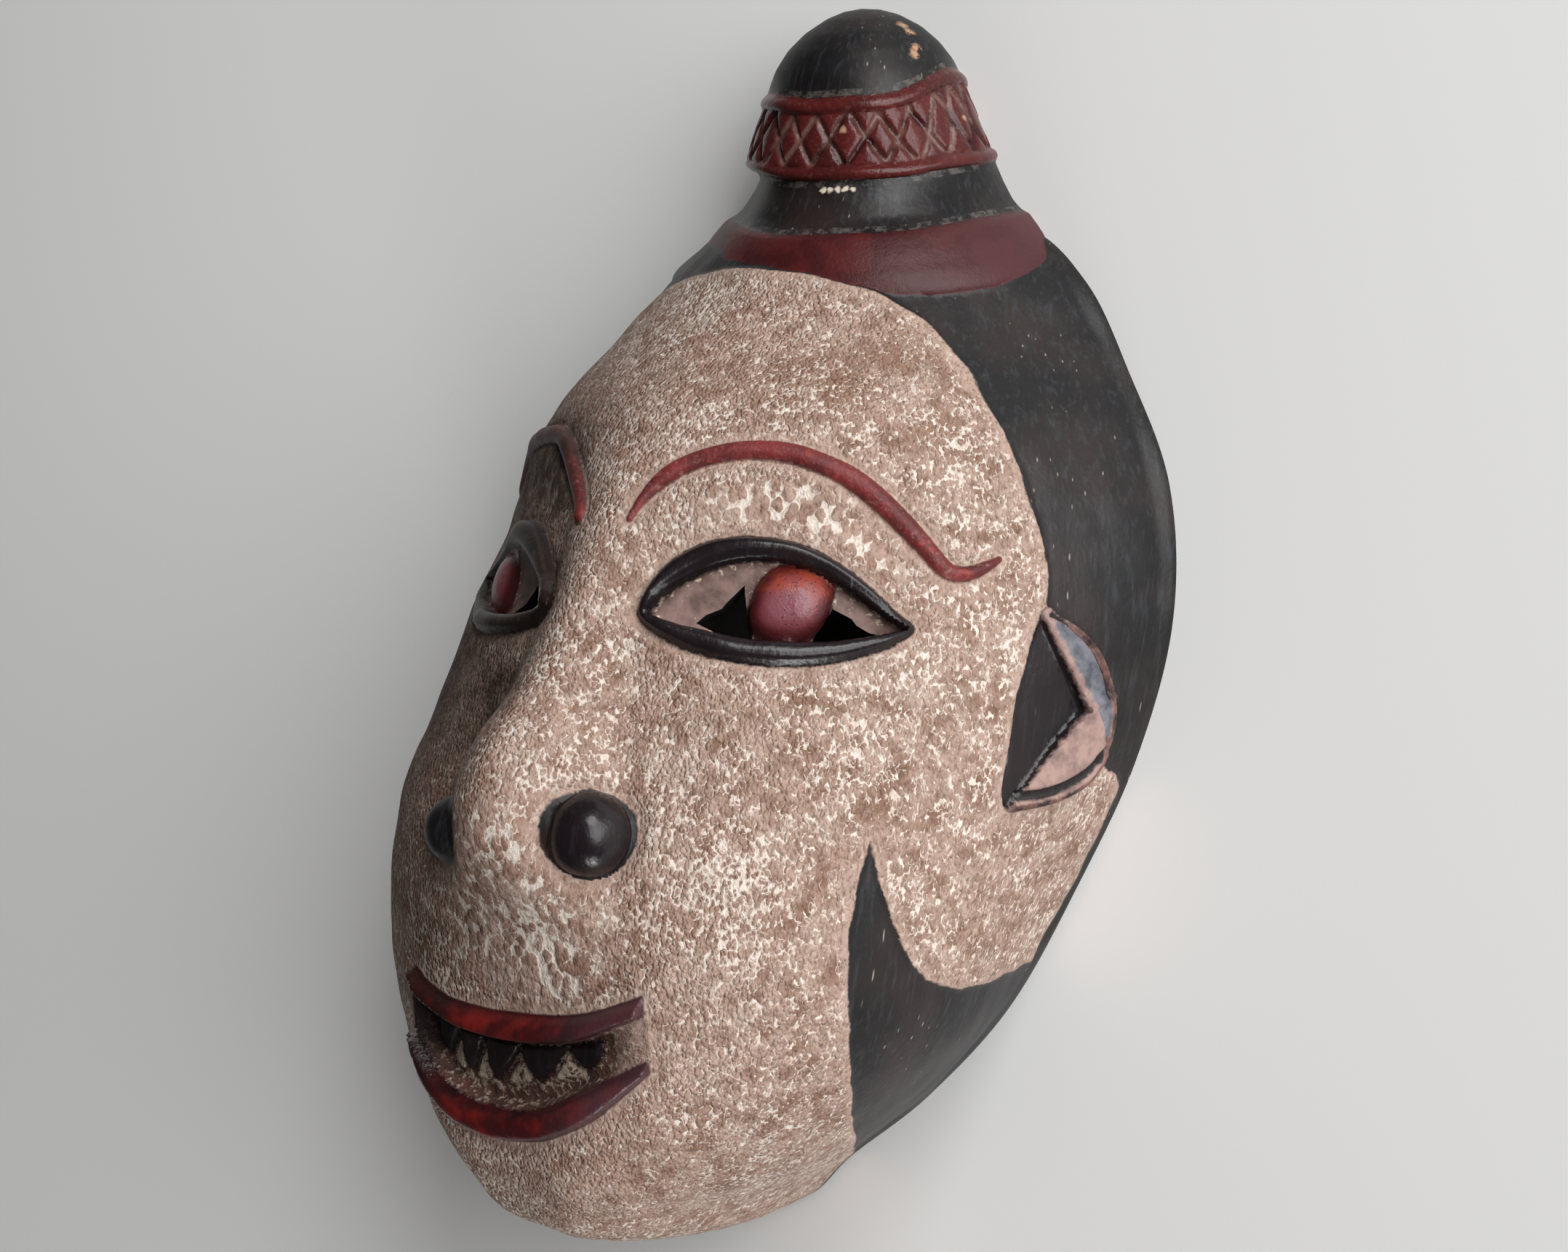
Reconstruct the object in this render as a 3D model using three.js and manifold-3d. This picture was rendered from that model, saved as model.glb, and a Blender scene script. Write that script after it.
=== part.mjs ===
import * as THREE from 'three';
import Module from 'manifold-3d';

// A carved wooden face mask with a domed topknot, lying on its flat back rim.
// Millimetres. x runs across the face, y from the chin to the topknot and z out of the face.

const wasm = await Module();
wasm.setup();

// Head form, with one value for every 15 degrees from the chin end to the crown end.
const headMiddleY = -27;
const headHalfLength = 155;
const halfWidths = [0, 19, 32, 56, 79, 95, 108.5, 114, 107.5, 89.5, 72, 48, 0];
const depths = [0, 90, 116, 125, 129, 134, 122, 113, 98, 70.5, 53, 33, 0];
const squareness = [4.6, 4.6, 4.6, 3.9, 3.2, 2.5, 2, 1.72, 1.7, 1.7, 1.7, 1.7, 1.7];
const cheekBulge = [0.3, 0.3, 0.27, 0.2, 0.13, 0.03, -0.03, -0.07, -0.09, -0.105, -0.11, -0.11, -0.11];
const wallThickness = 11;

// Nose: its height over the head form and its half width at places up the face.
const noseY = [-98, -88, -80, -72, -64, -56, -44, -31, -19, -4, 12, 24, 38, 51];
const noseHeights = [0, 1.5, 5, 11, 17, 20, 19, 14, 10, 7, 5, 3.5, 1.2, 0];
const noseHalfWidths = [30, 33, 35, 35, 33, 32, 29, 23, 20, 17, 18, 20, 24, 24];
const nostrils = [{ across: 26, y: -59 }, { across: -24, y: -63 }];
const nostrilRadius = 11.5;

// Brows, lids and lips: places along the middle of each ridge, as distance across the face and y.
const brow = {
  path: [[7, 21], [11, 31], [19, 40], [32, 46], [47, 45], [63, 40], [77, 32], [91, 21], [97, 18],
    [103, 19], [107, 23]],
  halfWidth: 3.2,
  height: 3.6,
};
const upperLid = {
  path: [[18, -3], [22, 5], [30, 14], [40, 18.5], [50, 20], [61, 18], [72, 13.5], [82, 8], [90, 3]],
  halfWidth: 3.6,
  height: 3.4,
};
const lowerLid = {
  path: [[18, -3], [23, -5], [31, -6.5], [42, -7.5], [55, -7.5], [67, -6], [79, -2.5], [90, 3]],
  halfWidth: 3.6,
  height: 3.2,
};
const eyePocketDepth = 5;
const iris = { across: 55.5, y: 5, radius: 10.5, height: 0.5 };
const innerSlit = [[33, -1.5], [42.5, 11], [45, -2.5]];
const outerSlit = [[67, 6], [69.5, -0.5], [79.5, 0.5]];
const upperLip = {
  path: [[-42, -99], [-30, -104.5], [-16, -108.8], [0, -111.2], [16, -108.8], [30, -104.5], [42, -99]],
  halfWidth: 2.8,
  height: 3.4,
};
const lowerLip = {
  path: [[-43, -115], [-38, -124], [-30, -132], [-15, -139.5], [0, -142], [15, -139.5], [30, -132],
    [38, -124], [43, -115]],
  halfWidth: 4.2,
  height: 4.6,
};
const mouthPocketDepth = 4;
const teeth = [
  { across: -32, top: -112, width: 11, length: 11 },
  { across: -20, top: -115, width: 12, length: 15 },
  { across: -7, top: -116, width: 12, length: 15 },
  { across: 7, top: -116, width: 12, length: 15 },
  { across: 20, top: -114, width: 12, length: 13 },
  { across: 32, top: -111, width: 10, length: 9 },
];

// Ears: front line and outer arc, and the three cornered hollow between them.
const earFront = [[125, 12], [126, 0], [127, -10], [127, -20], [128, -32], [132, -41]];
const earBack = [[126, 12], [146, 3], [156, -10], [160, -24], [155, -36], [139, -42]];
const earHeight = 6.5;
const earHollowFront = [[127, 7], [128, -4], [129, -15], [131, -26], [134, -37]];
const earHollowBack = [[128, 7], [137, -3], [147, -14], [143, -26], [136, -37]];

// Edge of the pale face: its curved line from the forehead to the ear, and how proud it stands.
const faceEdge = [[0, 98], [20, 97.5], [37, 96], [50, 92], [64, 85], [81, 73], [94, 65], [104, 55],
  [112, 48], [118, 38], [126, 23], [128, 12]];
const faceEdgeStep = 1.5;

// Topknot: a lathe form tilted towards the face, with its foot behind the crown.
const knotFoot = { y: 121.7, z: 6 };
const knotTilt = 18.7;
const knotProfile = [[0, -18], [54, -18], [63, -15], [62.5, -12], [57, -4], [50.5, 2.2], [48.8, 3],
  [45.2, 6], [41.5, 11], [38.4, 16], [39.6, 17.2], [38.4, 20], [36.9, 20.6], [31.6, 34.8], [32.4, 35.4],
  [30.8, 38.8], [29, 40], [28.6, 41.5], [26.6, 46], [22.6, 51.5], [17.4, 56.2], [10.8, 60], [4.8, 61.9],
  [0, 62.3]];
const lozengeCount = 18;
const lozengeBand = { low: 20.8, high: 34.6, lowRadius: 36.8, highRadius: 31.6 };
const lozengeGroove = { halfWidth: 1.1, depth: 1.3 };

// How finely the head form and the hollow are divided.
const headRows = 40;
const headColumns = 36;
const hollowRows = 18;
const hollowColumns = 16;

// Smooth curve through evenly spaced values.
function smoothValue(values, at) {
  const index = Math.min(Math.max(Math.floor(at), 0), values.length - 2);
  const u = at - index;
  const slope = (i) => {
    if (i <= 0) return (values[1] - values[0]) * 2 - (values[2] - values[0]) / 2;
    const last = values.length - 1;
    if (i >= last) return (values[last] - values[last - 1]) * 2 - (values[last] - values[last - 2]) / 2;
    return (values[i + 1] - values[i - 1]) / 2;
  };
  const a = values[index];
  const b = values[index + 1];
  return a * (2 * u ** 3 - 3 * u * u + 1) + slope(index) * (u ** 3 - 2 * u * u + u)
    + b * (3 * u * u - 2 * u ** 3) + slope(index + 1) * (u ** 3 - u * u);
}

// Straight lines between unevenly spaced places.
function between(places, values, at) {
  if (at <= places[0]) return values[0];
  for (let i = 1; i < places.length; i++) {
    if (at <= places[i]) {
      const u = (at - places[i - 1]) / (places[i] - places[i - 1]);
      return values[i - 1] + (values[i] - values[i - 1]) * u;
    }
  }
  return values[values.length - 1];
}

function smoothStep(from, to, at) {
  return THREE.MathUtils.smoothstep(at, from, to);
}

// A point on the plain head form. latitude goes from -90 at the chin end to 90 at the crown end, and
// turn from -90 at one side of the rim over the front at 0 to 90 at the other side.
function headPoint(latitude, turn, inset = 0) {
  const row = (latitude + 90) / 15;
  const halfWidth = Math.max(smoothValue(halfWidths, row) - inset, 0.02);
  const depth = Math.max(smoothValue(depths, row) - inset, 0.02);
  const power = smoothValue(squareness, row);
  const bulge = smoothValue(cheekBulge, row);
  const angle = THREE.MathUtils.degToRad(turn);
  const across = Math.abs(Math.sin(angle));
  const out = Math.abs(Math.cos(angle));
  const scale = (across ** power + out ** power) ** (-1 / power);
  const z = depth * Math.cos(angle) * scale;
  const level = THREE.MathUtils.clamp(z / depth, 0, 1);
  const x = halfWidth * Math.sin(angle) * scale * (1 + bulge * Math.sin(Math.PI * level));
  const y = headMiddleY + (headHalfLength - inset) * Math.sin(THREE.MathUtils.degToRad(latitude));
  return new THREE.Vector3(x, y, z);
}

function latitudeAt(y) {
  const sine = THREE.MathUtils.clamp((y - headMiddleY) / headHalfLength, -0.9999, 0.9999);
  return THREE.MathUtils.radToDeg(Math.asin(sine));
}

// Distance round the head from its middle line, for every degree and a half of turn.
const arcTables = new Map();
function arcTable(latitude) {
  const key = latitude.toFixed(3);
  if (!arcTables.has(key)) {
    const turns = [0];
    const lengths = [0];
    let last = headPoint(latitude, 0);
    for (let turn = 1.5; turn <= 90.001; turn += 1.5) {
      const point = headPoint(latitude, turn);
      turns.push(turn);
      lengths.push(lengths[lengths.length - 1] + point.distanceTo(last));
      last = point;
    }
    arcTables.set(key, { turns, lengths });
  }
  return arcTables.get(key);
}

// Height of the broad carving over the plain head form: nose, eye hollows and the pale face's edge.
function reliefAt(across, y) {
  const side = Math.abs(across);
  const share = Math.min(side / between(noseY, noseHalfWidths, y), 1);
  let height = between(noseY, noseHeights, y) * (1 - share ** 1.8) ** 1.7;
  const eyeDistance = Math.hypot((side - 54) / 44, (y - 13) / 27);
  height -= 2.2 * (1 - smoothStep(0.55, 1.05, eyeDistance));
  const edgeY = between(faceEdge.map((p) => p[0]), faceEdge.map((p) => p[1]), side);
  if (y > 10) height -= faceEdgeStep * Math.max(smoothStep(0, 5, y - edgeY), smoothStep(0, 5, side - 128));
  return height;
}

function carvedPoint(latitude, turn) {
  const point = headPoint(latitude, turn);
  const table = arcTable(latitude);
  const across = Math.sign(turn) * between(table.turns, table.lengths, Math.abs(turn));
  const alongRow = headPoint(latitude, Math.min(turn + 0.5, 90))
    .sub(headPoint(latitude, Math.max(turn - 0.5, -90)));
  const alongColumn = headPoint(Math.min(latitude + 0.5, 89.9), turn)
    .sub(headPoint(Math.max(latitude - 0.5, -89.9), turn));
  const normal = alongRow.cross(alongColumn).normalize();
  return point.addScaledVector(normal, reliefAt(across, point.y));
}

// The place on the carved face that lies across and y millimetres from the middle, raised by lift.
function facePoint(across, y, lift = 0) {
  const latitude = latitudeAt(y);
  const table = arcTable(latitude);
  const turn = Math.sign(across) * between(table.lengths, table.turns, Math.abs(across));
  const point = carvedPoint(latitude, turn);
  if (lift === 0) return point;
  const right = carvedPoint(latitude, Math.min(turn + 1, 90))
    .sub(carvedPoint(latitude, Math.max(turn - 1, -90)));
  const up = carvedPoint(latitude + 0.7, turn).sub(carvedPoint(latitude - 0.7, turn));
  const normal = right.cross(up).normalize();
  return point.addScaledVector(normal, lift);
}

// A solid for joining and cutting. Faces that all point inwards are turned over.
function solid(points, faces) {
  const vertProperties = new Float32Array(points.flatMap((p) => [p.x, p.y, p.z]));
  const make = (list) => new wasm.Manifold(
    new wasm.Mesh({ numProp: 3, vertProperties, triVerts: new Uint32Array(list.flat()) }));
  const made = make(faces);
  return made.volume() < 0 ? make(faces.map(([a, b, c]) => [a, c, b])) : made;
}

// A closed solid through rings of points, each end drawn together to one point.
function loft(rings, start, end) {
  const size = rings[0].length;
  const points = rings.flat();
  const faces = [];
  for (let r = 0; r + 1 < rings.length; r++) {
    for (let i = 0; i < size; i++) {
      const j = (i + 1) % size;
      const a = r * size + i;
      const b = r * size + j;
      faces.push([a, b, a + size], [b, b + size, a + size]);
    }
  }
  const startIndex = points.push(start) - 1;
  const endIndex = points.push(end) - 1;
  const lastRing = (rings.length - 1) * size;
  for (let i = 0; i < size; i++) {
    const j = (i + 1) % size;
    faces.push([startIndex, j, i], [endIndex, lastRing + i, lastRing + j]);
  }
  return solid(points, faces);
}

// A closed solid between two sheets of points that have the same rows and columns.
function slab(top, bottom) {
  const rows = top.length;
  const columns = top[0].length;
  const points = [...top.flat(), ...bottom.flat()];
  const under = rows * columns;
  const faces = [];
  const quad = (a, b, c, d) => faces.push([a, b, c], [a, c, d]);
  for (let r = 0; r + 1 < rows; r++) {
    for (let i = 0; i + 1 < columns; i++) {
      const a = r * columns + i;
      quad(a, a + 1, a + columns + 1, a + columns);
      quad(under + a + columns, under + a + columns + 1, under + a + 1, under + a);
    }
  }
  for (let i = 0; i + 1 < columns; i++) {
    const far = (rows - 1) * columns + i;
    quad(under + i, under + i + 1, i + 1, i);
    quad(far, far + 1, under + far + 1, under + far);
  }
  for (let r = 0; r + 1 < rows; r++) {
    const a = r * columns;
    const b = a + columns - 1;
    quad(a, a + columns, under + a + columns, under + a);
    quad(under + b, under + b + columns, b + columns, b);
  }
  return solid(points, faces);
}

function smoothPath(path, count) {
  const places = path.map(([a, b]) => new THREE.Vector3(a, b, 0));
  const curve = new THREE.CatmullRomCurve3(places, false, 'centripetal');
  return curve.getSpacedPoints(count).map((p) => [p.x, p.y]);
}

const mirrored = (path) => path.map(([a, b]) => [-a, b]);
const both = (path) => [path, mirrored(path)];

// A rounded ridge that follows a path on the face and dies away at both ends.
function ridge({ path, halfWidth, height }, steps, sides = 6) {
  const places = smoothPath(path, steps);
  const rings = [];
  for (let i = 1; i < steps; i++) {
    const dx = places[i + 1][0] - places[i - 1][0];
    const dy = places[i + 1][1] - places[i - 1][1];
    const length = Math.hypot(dx, dy);
    const taper = Math.min(1, 0.55 + 0.45 * Math.min(i - 1, steps - 1 - i));
    const ring = [];
    for (let k = 0; k < sides; k++) {
      const angle = (k / sides) * Math.PI * 2;
      const sideways = Math.cos(angle) * halfWidth * taper;
      ring.push(facePoint(places[i][0] - (dy / length) * sideways, places[i][1] + (dx / length) * sideways,
        Math.sin(angle) * height * taper + 0.01));
    }
    rings.push(ring);
  }
  return loft(rings, facePoint(...places[0], 0.01), facePoint(...places[steps], 0.01));
}

// The space between two border lines on the face, from one height to another.
function field(lowLine, highLine, low, high, steps, across = 4) {
  const lowPlaces = smoothPath(lowLine, steps);
  const highPlaces = smoothPath(highLine, steps);
  const sheet = (lift) => lowPlaces.map((place, i) => {
    const row = [];
    for (let k = 0; k <= across; k++) {
      const u = k / across;
      row.push(facePoint(place[0] + (highPlaces[i][0] - place[0]) * u,
        place[1] + (highPlaces[i][1] - place[1]) * u, lift));
    }
    return row;
  });
  return slab(sheet(high), sheet(low));
}

// A prism on a small outline, from one height over the face to another.
function facePrism(outline, low, high) {
  const atHeight = (lift) => outline.map(([a, b]) => facePoint(a, b, lift));
  const points = [...atHeight(high), ...atHeight(low)];
  const count = outline.length;
  const faces = [];
  for (let i = 0; i < count; i++) {
    const j = (i + 1) % count;
    faces.push([i, j, count + j], [i, count + j, count + i]);
    if (i > 0 && i + 1 < count) {
      faces.push([0, i + 1, i], [count, count + i, count + i + 1]);
    }
  }
  return solid(points, faces);
}

// The head as one closed dome with a flat back, with the nose and other broad carving on it.
function headDome() {
  const rings = [];
  for (let r = 1; r < headRows; r++) {
    const latitude = -90 + (180 * r) / headRows;
    const ring = [];
    for (let i = 0; i <= headColumns; i++) {
      const turn = -90 + (180 * i) / headColumns;
      const point = i === 0 || i === headColumns ? headPoint(latitude, turn) : carvedPoint(latitude, turn);
      ring.push(point.setZ(Math.max(point.z, 0)));
    }
    rings.push(ring);
  }
  return loft(rings, headPoint(-90, 0).setZ(0), headPoint(90, 0).setZ(0));
}

// The hollow behind the face. It runs out through the back, and follows a third of the nose's height.
function headHollow() {
  const rings = [];
  for (let r = 1; r < hollowRows; r++) {
    const latitude = -84 + (164 * r) / hollowRows;
    const ring = [];
    for (let i = 0; i <= hollowColumns; i++) {
      const turn = -90 + (180 * i) / hollowColumns;
      const point = headPoint(latitude, turn, wallThickness);
      const nose = between(noseY, noseHeights, point.y) * Math.max(0, 1 - Math.abs(point.x) / 30);
      point.z += nose * 0.35;
      ring.push(point);
    }
    const first = ring[0];
    const last = ring[ring.length - 1];
    ring.push(new THREE.Vector3(last.x, last.y, -5), new THREE.Vector3(first.x, first.y, -5));
    rings.push(ring);
  }
  const middle = Math.floor(hollowColumns / 2);
  const start = rings[0][middle].clone();
  const end = rings[rings.length - 1][middle].clone();
  start.set(start.x, start.y - 2, start.z / 2);
  end.set(end.x, end.y + 2, end.z / 2);
  return loft(rings, start, end);
}

// A solid from one of the library's shapes, with the points that lie together made one.
function geometrySolid(geometry) {
  const position = geometry.getAttribute('position');
  const points = [];
  for (let i = 0; i < position.count; i++) {
    points.push(new THREE.Vector3().fromBufferAttribute(position, i));
  }
  const merged = [];
  const lookup = new Map();
  const index = points.map((p) => {
    const key = [p.x, p.y, p.z].map((v) => Math.round(v * 1e4)).join();
    if (!lookup.has(key)) lookup.set(key, merged.push(p) - 1);
    return lookup.get(key);
  });
  const order = geometry.index ? Array.from(geometry.index.array) : points.map((_, i) => i);
  const faces = [];
  for (let i = 0; i < order.length; i += 3) {
    const face = [index[order[i]], index[order[i + 1]], index[order[i + 2]]];
    if (new Set(face).size === 3) faces.push(face);
  }
  return solid(merged, faces);
}

const knotPlacing = new THREE.Matrix4().makeTranslation(0, knotFoot.y, knotFoot.z)
  .multiply(new THREE.Matrix4().makeRotationX(THREE.MathUtils.degToRad(knotTilt)));

function topknot() {
  const lathe = new THREE.LatheGeometry(knotProfile.map(([r, h]) => new THREE.Vector2(r, h)), 30);
  lathe.applyMatrix4(knotPlacing);
  return geometrySolid(lathe);
}

// Slanting grooves that cross each other round the band, so that lozenges stay between them.
function lozengeGrooves() {
  const grooves = [];
  const pitch = (Math.PI * 2) / lozengeCount;
  const stations = 2;
  for (let n = 0; n < lozengeCount; n++) {
    for (const slant of [-1, 1]) {
      const rings = [];
      for (let k = 0; k <= stations; k++) {
        const u = k / stations;
        const h = lozengeBand.low + (lozengeBand.high - lozengeBand.low) * u;
        const radius = lozengeBand.lowRadius + (lozengeBand.highRadius - lozengeBand.lowRadius) * u;
        const angle = n * pitch + slant * pitch * (u - 0.5);
        const wide = lozengeGroove.halfWidth / radius;
        const at = (turned, r) => new THREE.Vector3(Math.sin(turned) * r, h, Math.cos(turned) * r)
          .applyMatrix4(knotPlacing);
        rings.push([at(angle - wide * 1.4, radius + 1), at(angle + wide * 1.4, radius + 1),
          at(angle, radius - lozengeGroove.depth)]);
      }
      const middle = (ring) => ring[0].clone().add(ring[1]).add(ring[2]).divideScalar(3);
      const first = middle(rings[0]);
      const last = middle(rings[stations]);
      const along = last.clone().sub(first).normalize();
      if (Math.min(first.z, last.z) < 1) continue;
      grooves.push(loft(rings, first.addScaledVector(along, -0.8), last.addScaledVector(along, 0.8)));
    }
  }
  return grooves;
}

// All that lies behind the flat plane of the back rim.
function behindRim() {
  const block = new THREE.BoxGeometry(400, 520, 200);
  block.translate(0, 0, -100);
  return geometrySolid(block);
}

let body = headDome().add(topknot());
body = body.subtract(headHollow()).subtract(behindRim());
for (const groove of lozengeGrooves()) body = body.subtract(groove);

// Eyes: a pocket between the lids, a drum for the iris, rolled lids, then two slits right through.
const lidTop = upperLid.path.map(([a, b]) => [a, b - 1]);
const lidBottom = upperLid.path.map(([a], i) => {
  const y = between(lowerLid.path.map((p) => p[0]), lowerLid.path.map((p) => p[1]), a);
  return [a, Math.min(y + 1, upperLid.path[i][1] - 1.5)];
});
for (const side of [1, -1]) {
  const turned = (path) => (side > 0 ? path : mirrored(path));
  body = body.subtract(field(turned(lidBottom), turned(lidTop), -eyePocketDepth, 9, 9, 3));
  const drum = [];
  for (let k = 0; k < 12; k++) {
    const angle = (k / 12) * Math.PI * 2;
    const across = iris.across + Math.cos(angle) * iris.radius;
    drum.push([side * across, iris.y + Math.sin(angle) * iris.radius]);
  }
  body = body.add(facePrism(drum, -eyePocketDepth - 2, iris.height));
  body = body.add(ridge({ ...upperLid, path: turned(upperLid.path) }, 11));
  body = body.add(ridge({ ...lowerLid, path: turned(lowerLid.path) }, 11));
  for (const slit of [innerSlit, outerSlit]) {
    body = body.subtract(facePrism(turned(slit), -30, 8));
  }
}
for (const path of both(brow.path)) body = body.add(ridge({ ...brow, path }, 14));

// Nose: a round ball stands at each side of the tip.
for (const nostril of nostrils) {
  const ball = new THREE.SphereGeometry(nostrilRadius, 12, 8);
  const centre = facePoint(nostril.across, nostril.y, -2.5);
  ball.translate(centre.x, centre.y, centre.z);
  body = body.add(geometrySolid(ball));
}

// Mouth: a pocket between the lips with pointed teeth hanging in it.
const pocketTop = upperLip.path.map(([a, b]) => [a * 0.97, b - 1]);
const pocketBottom = upperLip.path.map(([a]) => {
  const y = between(lowerLip.path.map((p) => p[0]), lowerLip.path.map((p) => p[1]), a);
  return [a * 0.97, y + 2];
});
body = body.subtract(field(pocketBottom, pocketTop, -mouthPocketDepth, 8, 10, 3));
for (const tooth of teeth) {
  const half = tooth.width / 2 - 0.4;
  const tip = tooth.top - tooth.length;
  const outline = [[-half, tooth.top + 4], [half, tooth.top + 4], [half, tooth.top - 1.5], [1.2, tip],
    [-1.2, tip], [-half, tooth.top - 1.5]].map(([a, b]) => [tooth.across + a, b]);
  body = body.add(facePrism(outline, -mouthPocketDepth - 2, -1));
}
body = body.add(ridge(upperLip, 14)).add(ridge(lowerLip, 16));

// Ears: a raised crescent with a three cornered hollow at its front.
for (const turned of [(path) => path, mirrored]) {
  body = body.add(field(turned(earFront), turned(earBack), -4, earHeight, 7, 3));
  body = body.subtract(field(turned(earHollowFront), turned(earHollowBack), 1, earHeight + 6, 5, 2));
}

function meshFrom(manifold, material) {
  const found = manifold.getMesh();
  const geometry = new THREE.BufferGeometry();
  const stride = found.numProp;
  const position = new Float32Array((found.vertProperties.length / stride) * 3);
  for (let i = 0; i < position.length / 3; i++) {
    for (let k = 0; k < 3; k++) position[i * 3 + k] = found.vertProperties[i * stride + k];
  }
  geometry.setAttribute('position', new THREE.BufferAttribute(position, 3));
  geometry.setIndex(new THREE.BufferAttribute(new Uint32Array(found.triVerts), 1));
  geometry.computeVertexNormals();
  return new THREE.Mesh(geometry, material);
}

const painted = new THREE.MeshStandardMaterial({ color: 0x9a7f6b, roughness: 0.72, metalness: 0 });
const mask = meshFrom(body, painted);
mask.name = 'mask';

const model = new THREE.Group();
model.add(mask);
export default model;
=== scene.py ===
# A carved wooden face mask with a banded, domed topknot. The face is covered with a crust of
# kaolin clay, and the rest is painted black and red.
# The mask lies face up on its flat back rim: x runs across the face, y from the chin to the
# topknot, and z out of the face.

import bmesh
import bpy
import numpy as np
from mathutils import Matrix, Vector


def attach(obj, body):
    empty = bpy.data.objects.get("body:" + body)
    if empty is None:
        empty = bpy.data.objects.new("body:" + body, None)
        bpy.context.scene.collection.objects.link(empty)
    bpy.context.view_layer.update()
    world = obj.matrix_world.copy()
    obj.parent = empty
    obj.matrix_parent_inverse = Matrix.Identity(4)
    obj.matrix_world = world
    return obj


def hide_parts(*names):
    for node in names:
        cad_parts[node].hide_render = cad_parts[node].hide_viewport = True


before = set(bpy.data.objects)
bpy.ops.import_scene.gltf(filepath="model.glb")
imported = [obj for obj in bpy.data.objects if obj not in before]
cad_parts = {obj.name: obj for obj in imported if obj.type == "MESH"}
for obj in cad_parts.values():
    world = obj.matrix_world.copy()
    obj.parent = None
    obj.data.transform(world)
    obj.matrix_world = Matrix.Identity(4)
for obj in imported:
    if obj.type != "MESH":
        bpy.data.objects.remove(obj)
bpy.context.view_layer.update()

# Sizes below are millimetres on the mask. Meshes are turned into metres as they are made.
metre = 0.001
farOff = 14.0  # distances to painted outlines are followed no further than this

mesh = {
    "spacing": 0.7,  # between neighbouring points of the face before it is thinned out
    "insideSpacing": 3.0,
    "fineRows": 1600,  # rows and turns from which the even spacing is worked out
    "fineTurns": 721,
    "triangles": 190000,
    "sharpAngle": 55,
}
slots = {"face": 0, "wood": 1, "knot": 2, "slit": 3}  # the materials of the one piece

# Head form, one value for every 15 degrees from the chin end to the crown end
head = {
    "middleY": -27,
    "halfLength": 155,
    "halfWidths": [0, 19, 32, 56, 79, 95, 108.5, 114, 107.5, 89.5, 72, 48, 0],
    "depths": [0, 90, 116, 125, 129, 134, 122, 113, 98, 70.5, 53, 33, 0],
    "squareness": [4.6, 4.6, 4.6, 3.9, 3.2, 2.5, 2, 1.72, 1.7, 1.7, 1.7, 1.7, 1.7],
    "cheekBulge": [0.3, 0.3, 0.27, 0.2, 0.13, 0.03, -0.03, -0.07, -0.09, -0.105, -0.11, -0.11, -0.11],
    "rowStep": 15,  # degrees between the values of a list
    "endLatitude": 89.6,
    "wall": 11,
    "calmRim": 7,  # the carving fades out this close to the rim
    "bareRim": 3.5,  # and the clay stops this far from it
    # a block larger than the mask, which cuts away what lies behind the rim
    "behind": ((-200, -260, -200), (200, 260, 0)),
}


def smoothValue(values, at):
    # smooth curve through evenly spaced values
    v = np.asarray(values, float)
    index = np.clip(np.floor(at).astype(int), 0, len(v) - 2)
    slope = np.empty(len(v))
    slope[1:-1] = (v[2:] - v[:-2]) / 2
    slope[0] = 2 * (v[1] - v[0]) - slope[1]
    slope[-1] = 2 * (v[-1] - v[-2]) - slope[-2]
    u = at - index
    a, b = v[index], v[index + 1]
    rise = slope[index] * (u**3 - 2 * u**2 + u) + slope[index + 1] * (u**3 - u**2)
    return a * (2 * u**3 - 3 * u**2 + 1) + b * (3 * u**2 - 2 * u**3) + rise


def smoothStep(low, high, at):
    u = np.clip((at - low) / (high - low), 0, 1)
    return u * u * (3 - 2 * u)


def softInterp(at, places, values, soft):
    # straight lines between the places, with the corners rounded off
    steps = np.linspace(-1, 1, 7) * soft
    return sum(np.interp(at + step, places, values) for step in steps) / len(steps)


def headPoint(latitude, turn, inset=0.0):
    # latitude goes from -90 at the chin end to 90 at the crown, turn from -90 to 90 over the front
    latitude, turn = np.broadcast_arrays(np.asarray(latitude, float), np.asarray(turn, float))
    row = (latitude + 90) / head["rowStep"]
    halfWidth = np.maximum(smoothValue(head["halfWidths"], row) - inset, 0.02)
    depth = np.maximum(smoothValue(head["depths"], row) - inset, 0.02)
    power = smoothValue(head["squareness"], row)
    bulge = smoothValue(head["cheekBulge"], row)
    angle = np.radians(turn)
    acrossShare = np.abs(np.sin(angle))
    outShare = np.abs(np.cos(angle))
    scale = (acrossShare**power + outShare**power) ** (-1 / power)
    z = depth * np.cos(angle) * scale
    level = np.clip(z / depth, 0, 1)
    x = halfWidth * np.sin(angle) * scale * (1 + bulge * np.sin(np.pi * level))
    y = head["middleY"] + (head["halfLength"] - inset) * np.sin(np.radians(latitude))
    return np.stack([x, y, z], axis=-1)


def runLength(points, axis):
    # distance along a line of points
    step = np.linalg.norm(np.diff(points, axis=axis), axis=-1)
    start = np.zeros_like(np.take(step, [0], axis=axis))
    return np.concatenate([start, np.cumsum(step, axis=axis)], axis=axis)


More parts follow.
